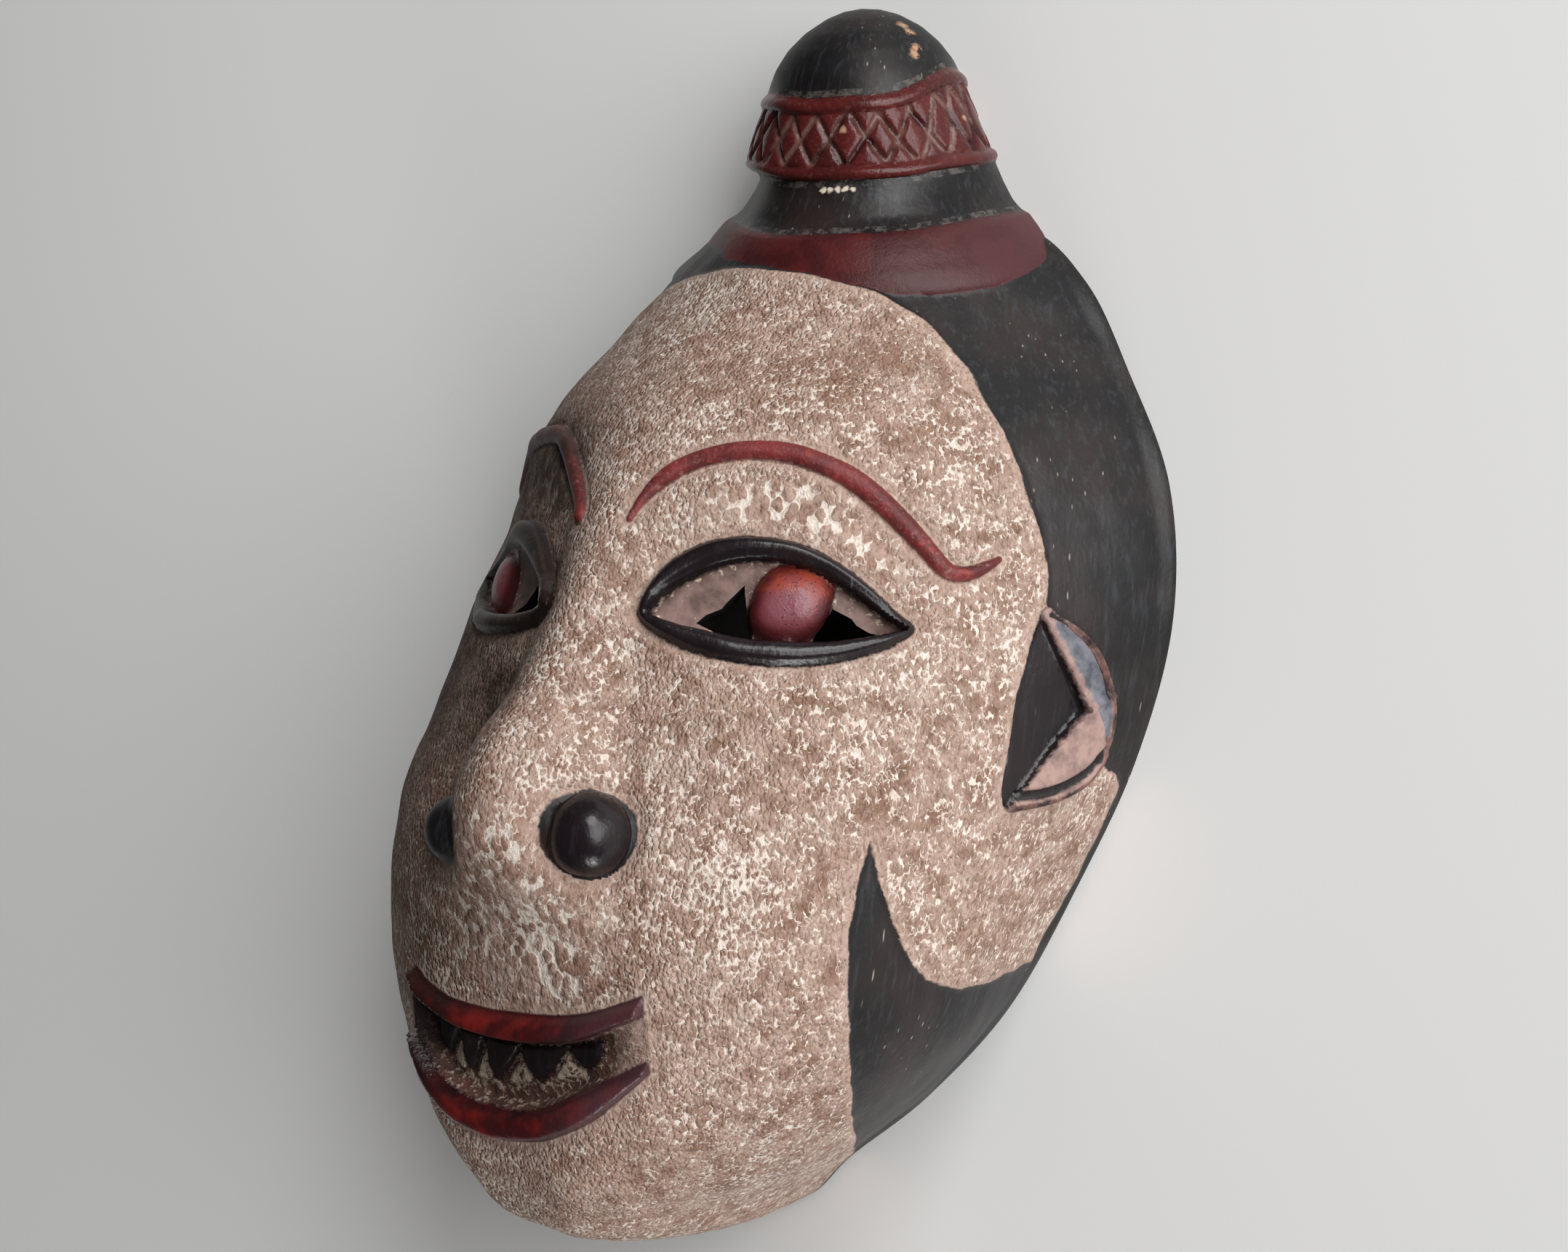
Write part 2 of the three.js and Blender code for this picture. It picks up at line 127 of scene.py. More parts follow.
def headGrid(spacing, inset=0.0):
    # evenly spaced rows, and evenly spaced points along each row from rim to rim
    fine = np.linspace(-head["endLatitude"], head["endLatitude"], mesh["fineRows"])
    middleRun = runLength(headPoint(fine, 0.0, inset), 0)
    rows = int(middleRun[-1] / spacing)
    latitude = np.interp(np.linspace(0, middleRun[-1], rows), middleRun, fine)
    turns = np.linspace(-90, 90, mesh["fineTurns"])
    run = runLength(headPoint(latitude[:, None], turns[None, :], inset), 1)
    columns = int(run.max() / spacing) // 2 * 2 + 1
    share = np.linspace(0, 1, columns)
    turn = np.stack([np.interp(share * line[-1], line, turns) for line in run])
    points = headPoint(latitude[:, None], turn, inset)
    middle = run[:, [mesh["fineTurns"] // 2]]
    across = share[None, :] * run[:, [-1]] - middle
    return points, across


def gridNormals(points):
    alongRow = np.gradient(points, axis=1)
    alongColumn = np.gradient(points, axis=0)
    normal = np.cross(alongRow, alongColumn)
    return normal / (np.linalg.norm(normal, axis=-1, keepdims=True) + 1e-12)


def smoothPath(corners, count, closed=False):
    # rounded line through a few corners
    p = np.asarray(corners, float)
    if closed:
        p = np.vstack([p[-1], p, p[0], p[1]])
    else:
        p = np.vstack([2 * p[0] - p[1], p, 2 * p[-1] - p[-2]])
    t = np.linspace(1, len(p) - 2, count, endpoint=not closed)
    index = np.minimum(t.astype(int), len(p) - 3)
    u = (t - index)[:, None]
    a, b, c, d = p[index - 1], p[index], p[index + 1], p[index + 2]
    return 0.5 * (2 * b + (c - a) * u + (2 * a - 5 * b + 4 * c - d) * u**2 + (3 * b - a - 3 * c + d) * u**3)


def edgeDistance(outline, across, up, reach=farOff):
    # distance to a closed outline, positive inside it and never beyond the reach outside
    low = outline.min(axis=0) - reach
    high = outline.max(axis=0) + reach
    near = (across > low[0]) & (across < high[0]) & (up > low[1]) & (up < high[1])
    x, y = across[near], up[near]
    best = np.full(x.shape, 1e9)
    inside = np.zeros(x.shape, bool)
    for start, end in zip(outline, np.roll(outline, -1, axis=0)):
        run = end - start
        t = np.clip(((x - start[0]) * run[0] + (y - start[1]) * run[1]) / (run @ run + 1e-12), 0, 1)
        best = np.minimum(best, np.hypot(x - start[0] - t * run[0], y - start[1] - t * run[1]))
        if start[1] != end[1]:
            level = (start[1] > y) != (end[1] > y)
            inside ^= level & (x < run[0] * (y - start[1]) / run[1] + start[0])
    found = np.full(across.shape, -float(reach))
    found[near] = np.clip(np.where(inside, best, -best), -reach, None)
    return found


def lineDistance(path, across, up, reach=farOff):
    # distance to an open line, and how far along it the nearest point lies from 0 to 1
    low = path.min(axis=0) - reach
    high = path.max(axis=0) + reach
    near = (across > low[0]) & (across < high[0]) & (up > low[1]) & (up < high[1])
    x, y = across[near], up[near]
    best = np.full(x.shape, float(reach))
    along = np.zeros(x.shape)
    for i in range(len(path) - 1):
        run = path[i + 1] - path[i]
        t = np.clip(((x - path[i, 0]) * run[0] + (y - path[i, 1]) * run[1]) / (run @ run), 0, 1)
        d = np.hypot(x - path[i, 0] - t * run[0], y - path[i, 1] - t * run[1])
        closer = d < best
        best = np.where(closer, d, best)
        along = np.where(closer, (i + t) / (len(path) - 1), along)
    distance = np.full(across.shape, float(reach))
    share = np.zeros(across.shape)
    distance[near] = best
    share[near] = along
    return distance, share


def inOutlines(outlines, across, up):
    # distance inside the nearest of several outlines
    return np.max([edgeDistance(np.array(outline, float), across, up) for outline in outlines], axis=0)


def handWobble(points, size, seed):
    # slow unevenness that a carver's tool leaves, between about -1 and 1
    rng = np.random.default_rng(seed)
    total = np.zeros(points.shape[:-1])
    for _ in range(9):
        direction = rng.normal(size=3)
        direction /= np.linalg.norm(direction)
        wave = size * rng.uniform(0.7, 1.6)
        total += np.sin(points @ direction * 2 * np.pi / wave + rng.uniform(0, 2 * np.pi))
    return total / 4


def raised(distance, width, power=2.2):
    # profile of a rolled edge: 0 at both borders of a band and 1 along its middle
    u = np.clip(distance / width, 0, 1)
    return (1 - np.abs(2 * u - 1) ** power) ** 0.6


def beside(distance, width):
    # 1 on a line, fading out to both sides of it
    return np.exp(-((distance / width) ** 2))


# Nose: height over the head form and half width at places up the face
nose = {
    "y": [-98, -88, -80, -72, -64, -56, -44, -31, -19, -4, 12, 24, 38, 51],
    "heights": [0, 1.5, 5, 11, 17, 20, 19, 14, 10, 7, 5, 3.5, 1.2, 0],
    "halfWidths": [30, 33, 35, 35, 33, 32, 29, 23, 20, 17, 18, 20, 24, 24],
}
eyeHollow = {
    "middle": (54, 13),
    "half": (44, 27),
    "depth": 2.2,
}


def broadRelief(across, up):
    # the nose, and shallow hollows for the eyes
    side = np.abs(across)
    share = np.clip(side / softInterp(up, nose["y"], nose["halfWidths"], 6), 0, 1)
    height = softInterp(up, nose["y"], nose["heights"], 5) * (1 - share**1.8) ** 1.7
    (middleSide, middleUp), (halfSide, halfUp) = eyeHollow["middle"], eyeHollow["half"]
    eyeShare = np.hypot((side - middleSide) / halfSide, (up - middleUp) / halfUp)
    height -= eyeHollow["depth"] * (1 - smoothStep(0.55, 1.05, eyeShare))
    return height


# Edge of the clay covered part: over the forehead, behind the ear and round the cheek's lobe,
# into the notch and down the jaw to the rim
clayEdge = {
    "forehead": [(0, 97.6), (14.3, 97.2), (27.3, 96), (41.3, 92.8), (54.5, 87.4), (66.6, 80.1),
                 (82.3, 68.7), (94, 59.6), (103.5, 50.3), (110.3, 42.2), (116.4, 34.4), (122.5, 23.5),
                 (126, 13)],
    "behindEar": [(140, 0), (158, -24), (165, -29), (173, -31.5), (179.5, -36), (181.4, -44), (183.4, -52),
                  (185.4, -62), (185.8, -72), (184, -80), (181.6, -88.5)],
    "lobe": [(172.9, -89), (162.1, -90.3), (150.7, -91.5), (138.6, -91.7), (129.4, -90.5), (122.7, -88.3),
             (117.1, -84.4), (112.7, -79), (109.2, -73.4), (104.8, -66.7), (100.9, -60.9), (97.6, -55.6)],
    "jaw": [(95, -51.8), (95.6, -58.3), (95.4, -64.1), (95.6, -70.8), (96, -79.5), (96.4, -88.1),
            (96.9, -97.3), (98.5, -106.7), (100.9, -116.7), (106, -129.5), (119.6, -146), (140, -160),
            (170, -170)],
    "honeycomb": [(22, 27), (33, 35), (46, 37), (60, 33), (74, 25), (84, 16), (76, 17), (62, 24), (46, 27),
                  (33, 25)],
    "outside": [(200, -215), (-30, -215)],  # closes the outline beyond the rim
    "step": 1.5,  # the clay part stands this much proud over the hair
    "jawStep": 0.8,
}


def clayOutline():
    corners = [(-30, 97.6), *clayEdge["forehead"], *clayEdge["behindEar"], *clayEdge["lobe"],
               *clayEdge["jaw"], *clayEdge["outside"]]
    return np.array(corners, float)


# Places across and up the face, reach and strength, where the clay is richer or poorer in chalk, where
# # it is stained with rust, and where it is darkened, partly by real patina and partly by painted shade
clayMarks = {
    "rich": [(10.5, -89, 7, 0.22), (14, -99, 5, 0.12), (31.9, 78.5, 4, 0.16), (66, -61.5, 6, 0.12),
             (9, -60, 5, 0.08), (3, -75, 8, 0.12), (8, 17, 4, 0.1), (11, -3, 5, 0.12), (16, -13, 5, 0.12),
             (14.5, -50, 6, 0.12), (15.6, 82.4, 5, 0.1), (44, 55, 12, 0.04), (35, -142, 26, -0.08),
             (45, 74, 24, -0.16), (10, 66, 20, -0.06), (16, 51, 7, 0.14), (34, 52, 6, 0.14),
             # the poorer chalk far out on the far side, at (-62, -20), is painted shade
             (88, 48, 9, 0.12), (130, -60, 30, -0.1), (50, -22, 9, -0.04), (-62, -20, 50, -0.16),
             (30, -150, 30, -0.08), (80, -120, 30, -0.05)],
    "rust": [(32.3, 64.4, 9, 0.8), (50, 75, 7, 0.6), (60, 76, 6, 0.6), (45, 63, 8, 0.6),
             (76.9, 56.9, 7, 0.5), (30, -104, 9, 0.6), (-10, -108, 10, 0.7), (-30, -100, 9, 0.7),
             (14, -72, 6, 0.4), (40, -140, 12, 0.4), (-40, -60, 30, 0.6)],
    # darkening on the far side, beside the nose and on the far brow: painted shade over some real patina
    "patinaAndShade": [(-64, -30, 46, 0.85), (-62, 34, 31, 0.75), (-40, -95, 24, 0.45), (-17, 2, 12, 0.75),
               (-24, -30, 14, 0.5), (0, -145, 26, 0.12), (-20, -100, 16, 0.2), (-30, 37, 15, 0.75),
               (8, -72, 12, 0.15)],
}


def markClay(face, layers):
    across, up = face["across"], face["up"]
    for name, marks in clayMarks.items():
        layers[name] = np.zeros(across.shape)
        for markAcross, markUp, reach, strength in marks:
            share = np.hypot(across - markAcross, up - markUp) / reach
            layers[name] += strength * np.exp(-share**2)
    # the plaques are larger under the brow and round the muzzle
    comb = edgeDistance(smoothPath(clayEdge["honeycomb"], 60, closed=True), face["side"], up)
    muzzle = 10 - 0.35 * np.hypot((across - 4) * 0.9, up + 84)
    layers["large"] = np.maximum(comb, muzzle)
    layers["comb"] = comb


brow = {
    "path": [(7.2, 21.6), (8.5, 27.1), (11.4, 33.4), (16.9, 38.8), (24.8, 42.8), (34.1, 44.9), (42.9, 44.9),
             (51.3, 43.3), (59.5, 40.9), (68.6, 36.5), (78.1, 30.6), (86.1, 25), (92.4, 20.2), (96.7, 18.7),
             (101.2, 19.6), (105.5, 22.3), (107.4, 23.8)],
    "farPath": [(10.2, 20.8), (11.6, 23.2), (15, 26.8), (20.4, 31.3), (25.4, 35.3), (31.3, 39.3),
                (37.5, 42.3), (44.5, 43.6), (52, 43.5), (60, 42.9), (69, 41.9), (78, 40.2), (86, 37.4),
                (94, 33), (101, 28), (107, 25), (112, 25)],
    "blunt": {"near": 0.35, "far": 0.8},  # share of the width at the inner ends
    "halfWidth": 2.6,
    "height": 2.3,
}


def carveBrows(face, layers, relief):
    across, up = face["across"], face["up"]
    distance, along = lineDistance(smoothPath(brow["path"], 60), across, up)
    farDistance, farAlong = lineDistance(smoothPath(brow["farPath"], 60), -across, up)
    along = np.where(farDistance < distance, farAlong, along)
    distance = np.minimum(distance, farDistance)
    blunt = np.where(across < 0, brow["blunt"]["far"], brow["blunt"]["near"])
    taper = blunt + (1 - blunt) * smoothStep(0, 0.16, along) * (1 - 0.35 * smoothStep(0.5, 0.8, along))
    taper *= 1 - 0.5 * smoothStep(0.86, 1, along)
    half = brow["halfWidth"] * taper
    relief += brow["height"] * taper * (1 - np.clip(distance / half, 0, 1) ** 2.4) ** 0.6
    relief -= 0.45 * beside(distance - half - 0.5, 0.8)  # the cut along its foot
    layers["red"] = np.maximum(layers["red"], half - distance)
    layers["clay"] = np.minimum(layers["clay"], distance - half)


# Eyes, as distance across the face and y. The far eye slants more and sits a little lower.
eye = {
    "lidOuter": [(16.4, -2), (16.9, 5), (19.1, 11), (23.2, 15.8), (28.9, 19.6), (36.2, 21.9), (43.8, 22.7),
                 (51, 22.4), (58.8, 20.7), (67.5, 17.2), (76.2, 12.6), (83, 8.1), (90, 3.2), (85.6, -1.6),
                 (79.6, -4.7), (70.9, -7.9), (60.4, -10.1), (49.9, -11), (38.9, -10.6), (30, -9),
                 (21.2, -5.9)],
    "openingTop": [(19.4, -1.5), (21.7, 3.2), (25.9, 8), (31.9, 12.5), (38.6, 15.3), (45.6, 16.6),
                   (52.7, 16.6), (60.8, 14.8), (69.2, 11.4), (76.3, 8), (82.2, 5), (87.6, 2.8)],
    "openingBottom": [(83.4, 1.5), (76.4, -0.6), (66.2, -2.7), (55.5, -3.7), (45, -4.2), (33.4, -3.6),
                      (25.4, -2.8)],
    "farLidOuter": [(8.4, -3.6), (12.9, 2.7), (19.7, 7.5), (25.2, 11.6), (32.1, 15.8), (38.5, 18.4),
                    (48, 19), (56.3, 17.1), (65, 13.6), (73.7, 9), (80.5, 4.5), (87.5, -0.4), (83.1, -5.2),
                    (77.1, -8.3), (68.4, -11.5), (57.9, -13.7), (47.4, -14.6), (36, -14), (25, -12.4),
                    (15.6, -9)],
    "farOpeningTop": [(13.4, -3.6), (19, 0.8), (28, 5.2), (38, 9.4), (47, 11.4), (56, 10.8), (65, 8),
                      (73.8, 4.4), (79.7, 1.4), (85.1, -0.8)],
    "farOpeningBottom": [(80.9, -2.4), (73.9, -5), (63.7, -7.3), (53, -8.4), (42.5, -8.8), (32, -8.2),
                         (23, -6.6)],
    "lidHeight": 3.3,
    "lidFull": 4.6,  # width from which a lid has its full height
    "pocket": {"top": 1.8, "bottom": 5.4},
    "irisMiddle": {"near": (55.6, 6.7), "far": (61, 1.6)},
    "irisHalf": (11.2, 10.7),
    "irisTop": {"near": 2.5, "far": 0.6},
    "irisRound": 2.7,  # 2 would be an ellipse
    "slitDepth": (-34, 8),
    "slits": {
        "near": [[(31.5, -0.4), (37, 3.8), (41.8, 10.4), (45, 2), (47.5, -2.4), (38, -2.5)],
                 [(67, 7.2), (73, 5), (77.4, 3.2), (82, 2.5), (77, 0.3), (70, -1.4), (64.5, -2.2),
                  (66, 2)]],
        "far": [[(21, -3.4), (27, -0.2), (34, 2), (38, -1.2), (44, -4.4), (52, -7), (43, -7.8),
                 (32, -7.2)],
                [(71.8, 2.4), (75.5, 0.6), (80.6, -1.2), (76, -3.3), (71.8, -4.2)]],
    },
}


def eyeShape(outer, openingTop, openingBottom, side, up):
    # distances inside the lids' outline and inside the opening, and how far down the opening a point lies
    top = smoothPath(openingTop, 60)
    bottom = smoothPath([openingTop[-1], *openingBottom, openingTop[0]], 60)
    inRing = edgeDistance(smoothPath(outer, 160, closed=True), side, up)
    inOpening = edgeDistance(np.vstack([top, bottom[1:-1]]), side, up)
    high = np.interp(side, top[:, 0], top[:, 1])
    low = np.interp(side, bottom[::-1, 0], bottom[::-1, 1])
    return inRing, inOpening, np.clip((high - up) / np.maximum(high - low, 1), 0, 1)


def carveEyes(face, layers, relief):
    # flat rolled lids round a recessed eyeball with a drum for the iris
    side, up = face["side"], face["up"]
    onFar = face["across"] < 0
    nearEye = eyeShape(eye["lidOuter"], eye["openingTop"], eye["openingBottom"], side, up)
    farEye = eyeShape(eye["farLidOuter"], eye["farOpeningTop"], eye["farOpeningBottom"], side, up)
    inRing, inOpening, fall = (np.where(onFar, far, near) for far, near in zip(farEye, nearEye))
    lidWidth = np.clip(inRing, 0, None) + np.clip(-inOpening, 0, None)
    lid = eye["lidHeight"] * np.clip(lidWidth / eye["lidFull"], 0, 1)
    lid = lid * raised(inRing, np.maximum(lidWidth, 0.1), 2.6)
    lid -= 0.6 * beside(inOpening + 1.5, 0.5) * (up > 3) * ~onFar  # a line along the upper lid
    # the far lids flatten out towards the side of the face
    flat = 1 - 0.8 * smoothStep(46, 68, side) * onFar
    onLid = (inRing > 0) & (inOpening < 0)
    relief += np.where(onLid, lid * flat * smoothStep(-0.1, 1.1, inRing), 0)
    relief -= 0.5 * beside(inRing + 0.5, 0.7)

    top, bottom = eye["pocket"]["top"], eye["pocket"]["bottom"]
    pocket = -(top + (bottom - top) * fall**0.8)
    (nearSide, nearUp), (farSide, farUp) = eye["irisMiddle"]["near"], eye["irisMiddle"]["far"]
    lean = 0.04 * (up - 5)
    aside = np.abs(side - np.where(onFar, farSide, nearSide) - lean) / eye["irisHalf"][0]
    above = np.abs(up - np.where(onFar, farUp, nearUp)) / eye["irisHalf"][1]
    power = eye["irisRound"]
    iris = (1 - (aside**power + above**power) ** (1 / power)) * 9.5
    crest = np.where(onFar, eye["irisTop"]["far"], eye["irisTop"]["near"])
    drum = crest - 4 * np.clip(aside, 0, 1.2) ** 2.4 - 5.5 * np.clip(above, 0, 1.2) ** 2.4
    drum = np.maximum(drum, pocket + 0.5)
    floor = pocket + (drum - pocket) * smoothStep(-0.5, 1.1, iris)
    relief += np.where(inOpening > -0.4, floor * smoothStep(-0.4, 0.9, inOpening), 0)
    layers["wash"] = np.maximum(layers["wash"], np.minimum(inOpening - 0.3, -iris + 0.4))
    layers["iris"] = np.where(inOpening > 0, iris, -farOff)
    layers["clay"] = np.minimum(layers["clay"], -inRing - 0.2)
    layers["gloss"] = np.maximum(layers["gloss"], inRing)
    layers["patinaAndShade"] *= 1 - 0.9 * smoothStep(-0.5, 0.5, inOpening)


mouth = {
    "upperTop": [(-38.5, -106.6), (-35.5, -107.4), (-31, -109.4), (-21, -111.6), (-6, -111.4), (0, -110.6),
                 (10.5, -109), (19.7, -107.2), (28.4, -104.3), (35.2, -101), (42.5, -97.2)],
    "upperBottom": [(-39, -108.6), (-36, -111), (-31.8, -114.3), (-25.8, -116.4), (-13.9, -119),
                    (0, -118.6), (11, -117), (20, -114.7), (27, -111.9), (34, -108), (43, -102.6)],
    "lowerTop": [(-38.5, -122.5), (-35.7, -126), (-30, -130.8), (-23.9, -134.8), (-14.5, -137.4),
                 (-5.1, -138), (9, -135.4), (18, -131), (24, -127.4), (29.4, -123.7), (34.7, -120.3),
                 (39.6, -117), (44.5, -113.8)],
    "lowerBottom": [(-38.5, -126.5), (-33.9, -132), (-29, -138), (-20.2, -143.6), (-11.4, -146),
                    (-1.8, -146.3), (11.8, -143.4), (21, -139), (30, -133), (35, -128.3), (40, -123),
                    (45.2, -117.3)],
    # borders, height, squareness, and how far down the crest lies
    "lips": [("upperTop", "upperBottom", 4.3, 2.2, 1.7), ("lowerTop", "lowerBottom", 4.0, 2.8, 1)],
    "pocket": 5.2,
    "teeth": [[(18.5, -116.4), (31.2, -111.8), (30.4, -116.6), (26, -121.6), (21.6, -119.8)],
              [(2.5, -120), (18.2, -116.4), (16, -121.5), (10.5, -128.4), (6.2, -126.3)],
              [(-11, -120.6), (2.8, -119.2), (0.5, -124.5), (-5, -132.4), (-8.5, -128)],
              [(-20.7, -119.8), (-11, -120.6), (-13, -127.5), (-15.6, -132.2), (-18.5, -128)],
              [(-30.5, -116.8), (-20.8, -119.4), (-22.6, -125.6), (-25, -129.6), (-28.6, -126)],
              [(-37, -112.4), (-31, -116.4), (-32.2, -121), (-34.4, -121)]],
    "toothHeight": 2.8,
    "lowerTeeth": [[(18.2, -118.4), (24.6, -123.6), (13, -128.6)],
                   [(2.6, -121.6), (8.4, -129.6), (-3.4, -133)],
                   [(-11, -122), (-6.2, -133.4), (-15.2, -134.2)],
                   [(-20.8, -121.2), (-16.4, -133.4), (-24.8, -131)]],
    "lowerToothHeight": 1.6,
}


def carveMouth(face, layers, relief):
    # two rolled lips with a pocket between them and pointed teeth
    across, up = face["across"], face["up"]
    borders = {name: smoothPath(mouth[name], 90)
               for name in ("upperTop", "upperBottom", "lowerTop", "lowerBottom")}
    for first, second, height, power, lean in mouth["lips"]:
        top, bottom = borders[first], borders[second]
        inLip = edgeDistance(np.vstack([top, bottom[::-1]]), across, up)
        low = np.interp(across, bottom[:, 0], bottom[:, 1])
        high = np.interp(across, top[:, 0], top[:, 1])
        share = np.clip((high - up) / np.maximum(high - low, 1), 0, 1) ** lean
        roll = height * raised(share, 1, power)
        relief += np.where(inLip > -0.2, roll * smoothStep(-0.2, 1.4, inLip), 0)
        layers["red"] = np.maximum(layers["red"], inLip)
        layers["clay"] = np.minimum(layers["clay"], -inLip)
    inMouth = edgeDistance(np.vstack([borders["upperBottom"], borders["lowerTop"][::-1]]), across, up)
    pocket = mouth["pocket"] * (1 - 0.92 * smoothStep(22, 41, across))  # it runs out at the near corner
    relief -= np.where(inMouth > -0.2, pocket * smoothStep(-0.2, 1.2, inMouth), 0)
    tooth = inOutlines(mouth["teeth"], across, up)
    lowerTooth = inOutlines(mouth["lowerTeeth"], across, up)
    teeth = np.maximum(mouth["toothHeight"] * smoothStep(-0.3, 1.0, tooth),
                       mouth["lowerToothHeight"] * smoothStep(-0.3, 1.2, lowerTooth))
    relief += np.where(inMouth > 0, teeth + 0.25 * handWobble(face["points"], 5, 14), 0)
    layers["crust"] = np.minimum(inMouth + 0.9, -tooth - 0.1)
    layers["crumbs"] = lowerTooth
    layers["clay"] = np.minimum(layers["clay"], -inMouth)
    layers["gloss"] = np.maximum(layers["gloss"], inMouth)


nostrils = {
    "near": {"socket": (25.2, -59.4), "ball": (25, -59.2), "radius": 11.3, "sunk": 3.7, "gloss": 5},
    "far": {"socket": (-21, -66), "ball": (-21, -66), "radius": 9.6, "sunk": 5.2, "gloss": -14},
    "socket": 1.2,  # depth of the dent round each ball
    "scuff": (17.5, -67.5),  # a worn, reddish patch at the near ball's inner side
}


def carveNostrils(face, layers, relief):
    # a dent round each ball
    across, up = face["across"], face["up"]
    inSocket = np.full(across.shape, -farOff)
    for ball in (nostrils["near"], nostrils["far"]):
        distance = np.hypot(across - ball["socket"][0], up - ball["socket"][1]) - ball["radius"] + 0.5
        inSocket = np.maximum(inSocket, -distance)
        relief -= nostrils["socket"] * beside(distance, 2.4)
        layers["clay"] = np.minimum(layers["clay"], distance + 0.3)
    scuff = 3 - 3 * np.hypot((across - nostrils["scuff"][0]) / 2.6, (up - nostrils["scuff"][1]) / 8)
    layers["scuff"] = np.minimum(scuff, inSocket)


ear = {
    "outline": [(125.4, 12.7), (132, 10.8), (138, 8.6), (143.6, 5.4), (148.6, 1.6), (153, -3), (156.8, -8),
                (159.8, -13.4), (161.6, -18.4), (162.4, -23.5), (162, -28.6), (159.8, -32.8), (156, -36.2),
                (150.6, -38.8), (144.6, -40.7), (139.6, -41.8), (135.6, -42.6), (132.4, -41.2),
                (129.4, -36.4), (127.8, -30), (126.2, -21.3), (124.8, -13.3), (124.6, -5), (124.4, 4.8)],
    "hollow": [(125, 11), (136.4, -1.6), (148, -13.4), (141.2, -25), (135.2, -38.4), (135, -42),
               (132, -41), (129, -36.4), (127.2, -30), (125.6, -21.3), (124.2, -13.3), (123.8, -3)],
    "grooves": [[(127.8, 11), (135.4, 8.2), (143.6, 3.2), (150.4, -3.4), (154.6, -9.6)],
                [(159, -22), (158.2, -27), (154.8, -31), (149, -34.4), (142.4, -36.8), (136.4, -38)]],
    "grooveHalf": [0.7, 1.5],
    "dividers": [[(148, -13.4), (156.4, -8.4)], [(148, -13.4), (153.6, -18), (159.6, -27)]],
    "upperFacet": [(126, 14), (129.5, 6.6), (149.4, -13.8), (153.6, -18.6), (159.6, -28), (170, -30),
                   (170, 14)],
    "height": 2.9,
    "hollowDepth": 0.7,
}


def carveEars(face, layers, relief):
    # a raised crescent, a black three cornered hollow and dark grooves along the outer arc
    side, up = face["side"], face["up"]
    inEar = edgeDistance(smoothPath(ear["outline"], 150, closed=True), side, up)
    hollow = np.minimum(edgeDistance(np.array(ear["hollow"], float), side, up), inEar + 0.3)
    slope = smoothStep(125, 146, side + 0.15 * (up + 14))
    shape = ear["height"] * (0.3 + 0.7 * slope) * smoothStep(-0.6, 1.0, inEar)
    shape = shape * (1 - smoothStep(-0.3, 0.6, hollow))
    shape -= ear["hollowDepth"] * smoothStep(-0.2, 0.9, hollow)
    groove = np.full(side.shape, farOff)
    for path, half in zip(ear["grooves"], ear["grooveHalf"]):
        groove = np.minimum(groove, lineDistance(smoothPath(path, 40), side, up)[0] - half)
    shape -= 1.4 * smoothStep(0.7, -0.6, groove) * (inEar > 0)
    for path in ear["dividers"]:
        divider = lineDistance(np.array(path, float), side, up)[0]
        shape += 0.9 * beside(divider, 0.8) * (inEar > 0.5) * (hollow < 0)
    relief += shape
    facet = np.minimum(np.minimum(inEar - 0.3, -hollow), groove)
    upperFacet = edgeDistance(np.array(ear["upperFacet"], float), side, up)
    layers["slate"] = np.minimum(np.minimum(facet, upperFacet - 0.8), inEar - 2.4)
    outerRim = smoothStep(131, 138, side) * 3 - 1.5
    layers["earRim"] = np.minimum(np.minimum(inEar - 0.2, 2.2 - inEar), outerRim)
    layers["wash"] = np.maximum(layers["wash"], facet)
    layers["clay"] = np.minimum(layers["clay"], -inEar)
    layers["gloss"] = np.maximum(layers["gloss"], hollow)


# Distances in millimetres that the paint follows, kept on the points of the mesh
paint = ["clay", "red", "iris", "wash", "slate", "earRim", "scuff", "crust", "crumbs", "large", "comb",
         "rich", "rust", "patinaAndShade", "gloss", "knotHeight", "knotGroove", "knotSkirt"]


def carveHead(points, across):
    # moves the grid out along its normals and returns it with the distances that the paint follows
    up = points[..., 1]
    face = {"points": points, "across": across, "side": np.abs(across), "up": up}
    layers = {name: np.full(across.shape, -farOff) for name in ("red", "wash", "gloss")}
    markClay(face, layers)
    rimRun = across[:, [-1]] - face["side"]
    still = smoothStep(0, head["calmRim"], rimRun)  # nothing moves at the rim itself

    # the clay stands proud over the hair
    clay = edgeDistance(clayOutline(), face["side"], up, 30) + 0.35 * handWobble(points, 9, 6)
    onJaw = smoothStep(20, 0, up)
    step = clayEdge["step"] * (1 - onJaw) + clayEdge["jawStep"] * onJaw
    broad = broadRelief(across, up) - step * (1 - smoothStep(-1.9, 0.7, clay))
    base = points + gridNormals(points) * (broad * still)[..., None]
    normal = gridNormals(base)
    layers["clay"] = clay

    relief = 0.35 * handWobble(points, 34, 3) + 0.16 * handWobble(points, 13, 4)
    for carve in (carveBrows, carveEyes, carveMouth, carveNostrils, carveEars):
        carve(face, layers, relief)
    carved = base + normal * (relief * still)[..., None]
    carved[..., 2] = np.maximum(carved[..., 2], 0)
    carved[:, [0, -1], 2] = 0
    layers["clay"] = np.minimum(layers["clay"], rimRun - head["bareRim"])
    # the far side is duller
    layers["gloss"] = np.where(across < -14, -farOff, layers["gloss"])
    return carved, layers, {"points": base, "normals": normal, "across": across, "up": up}


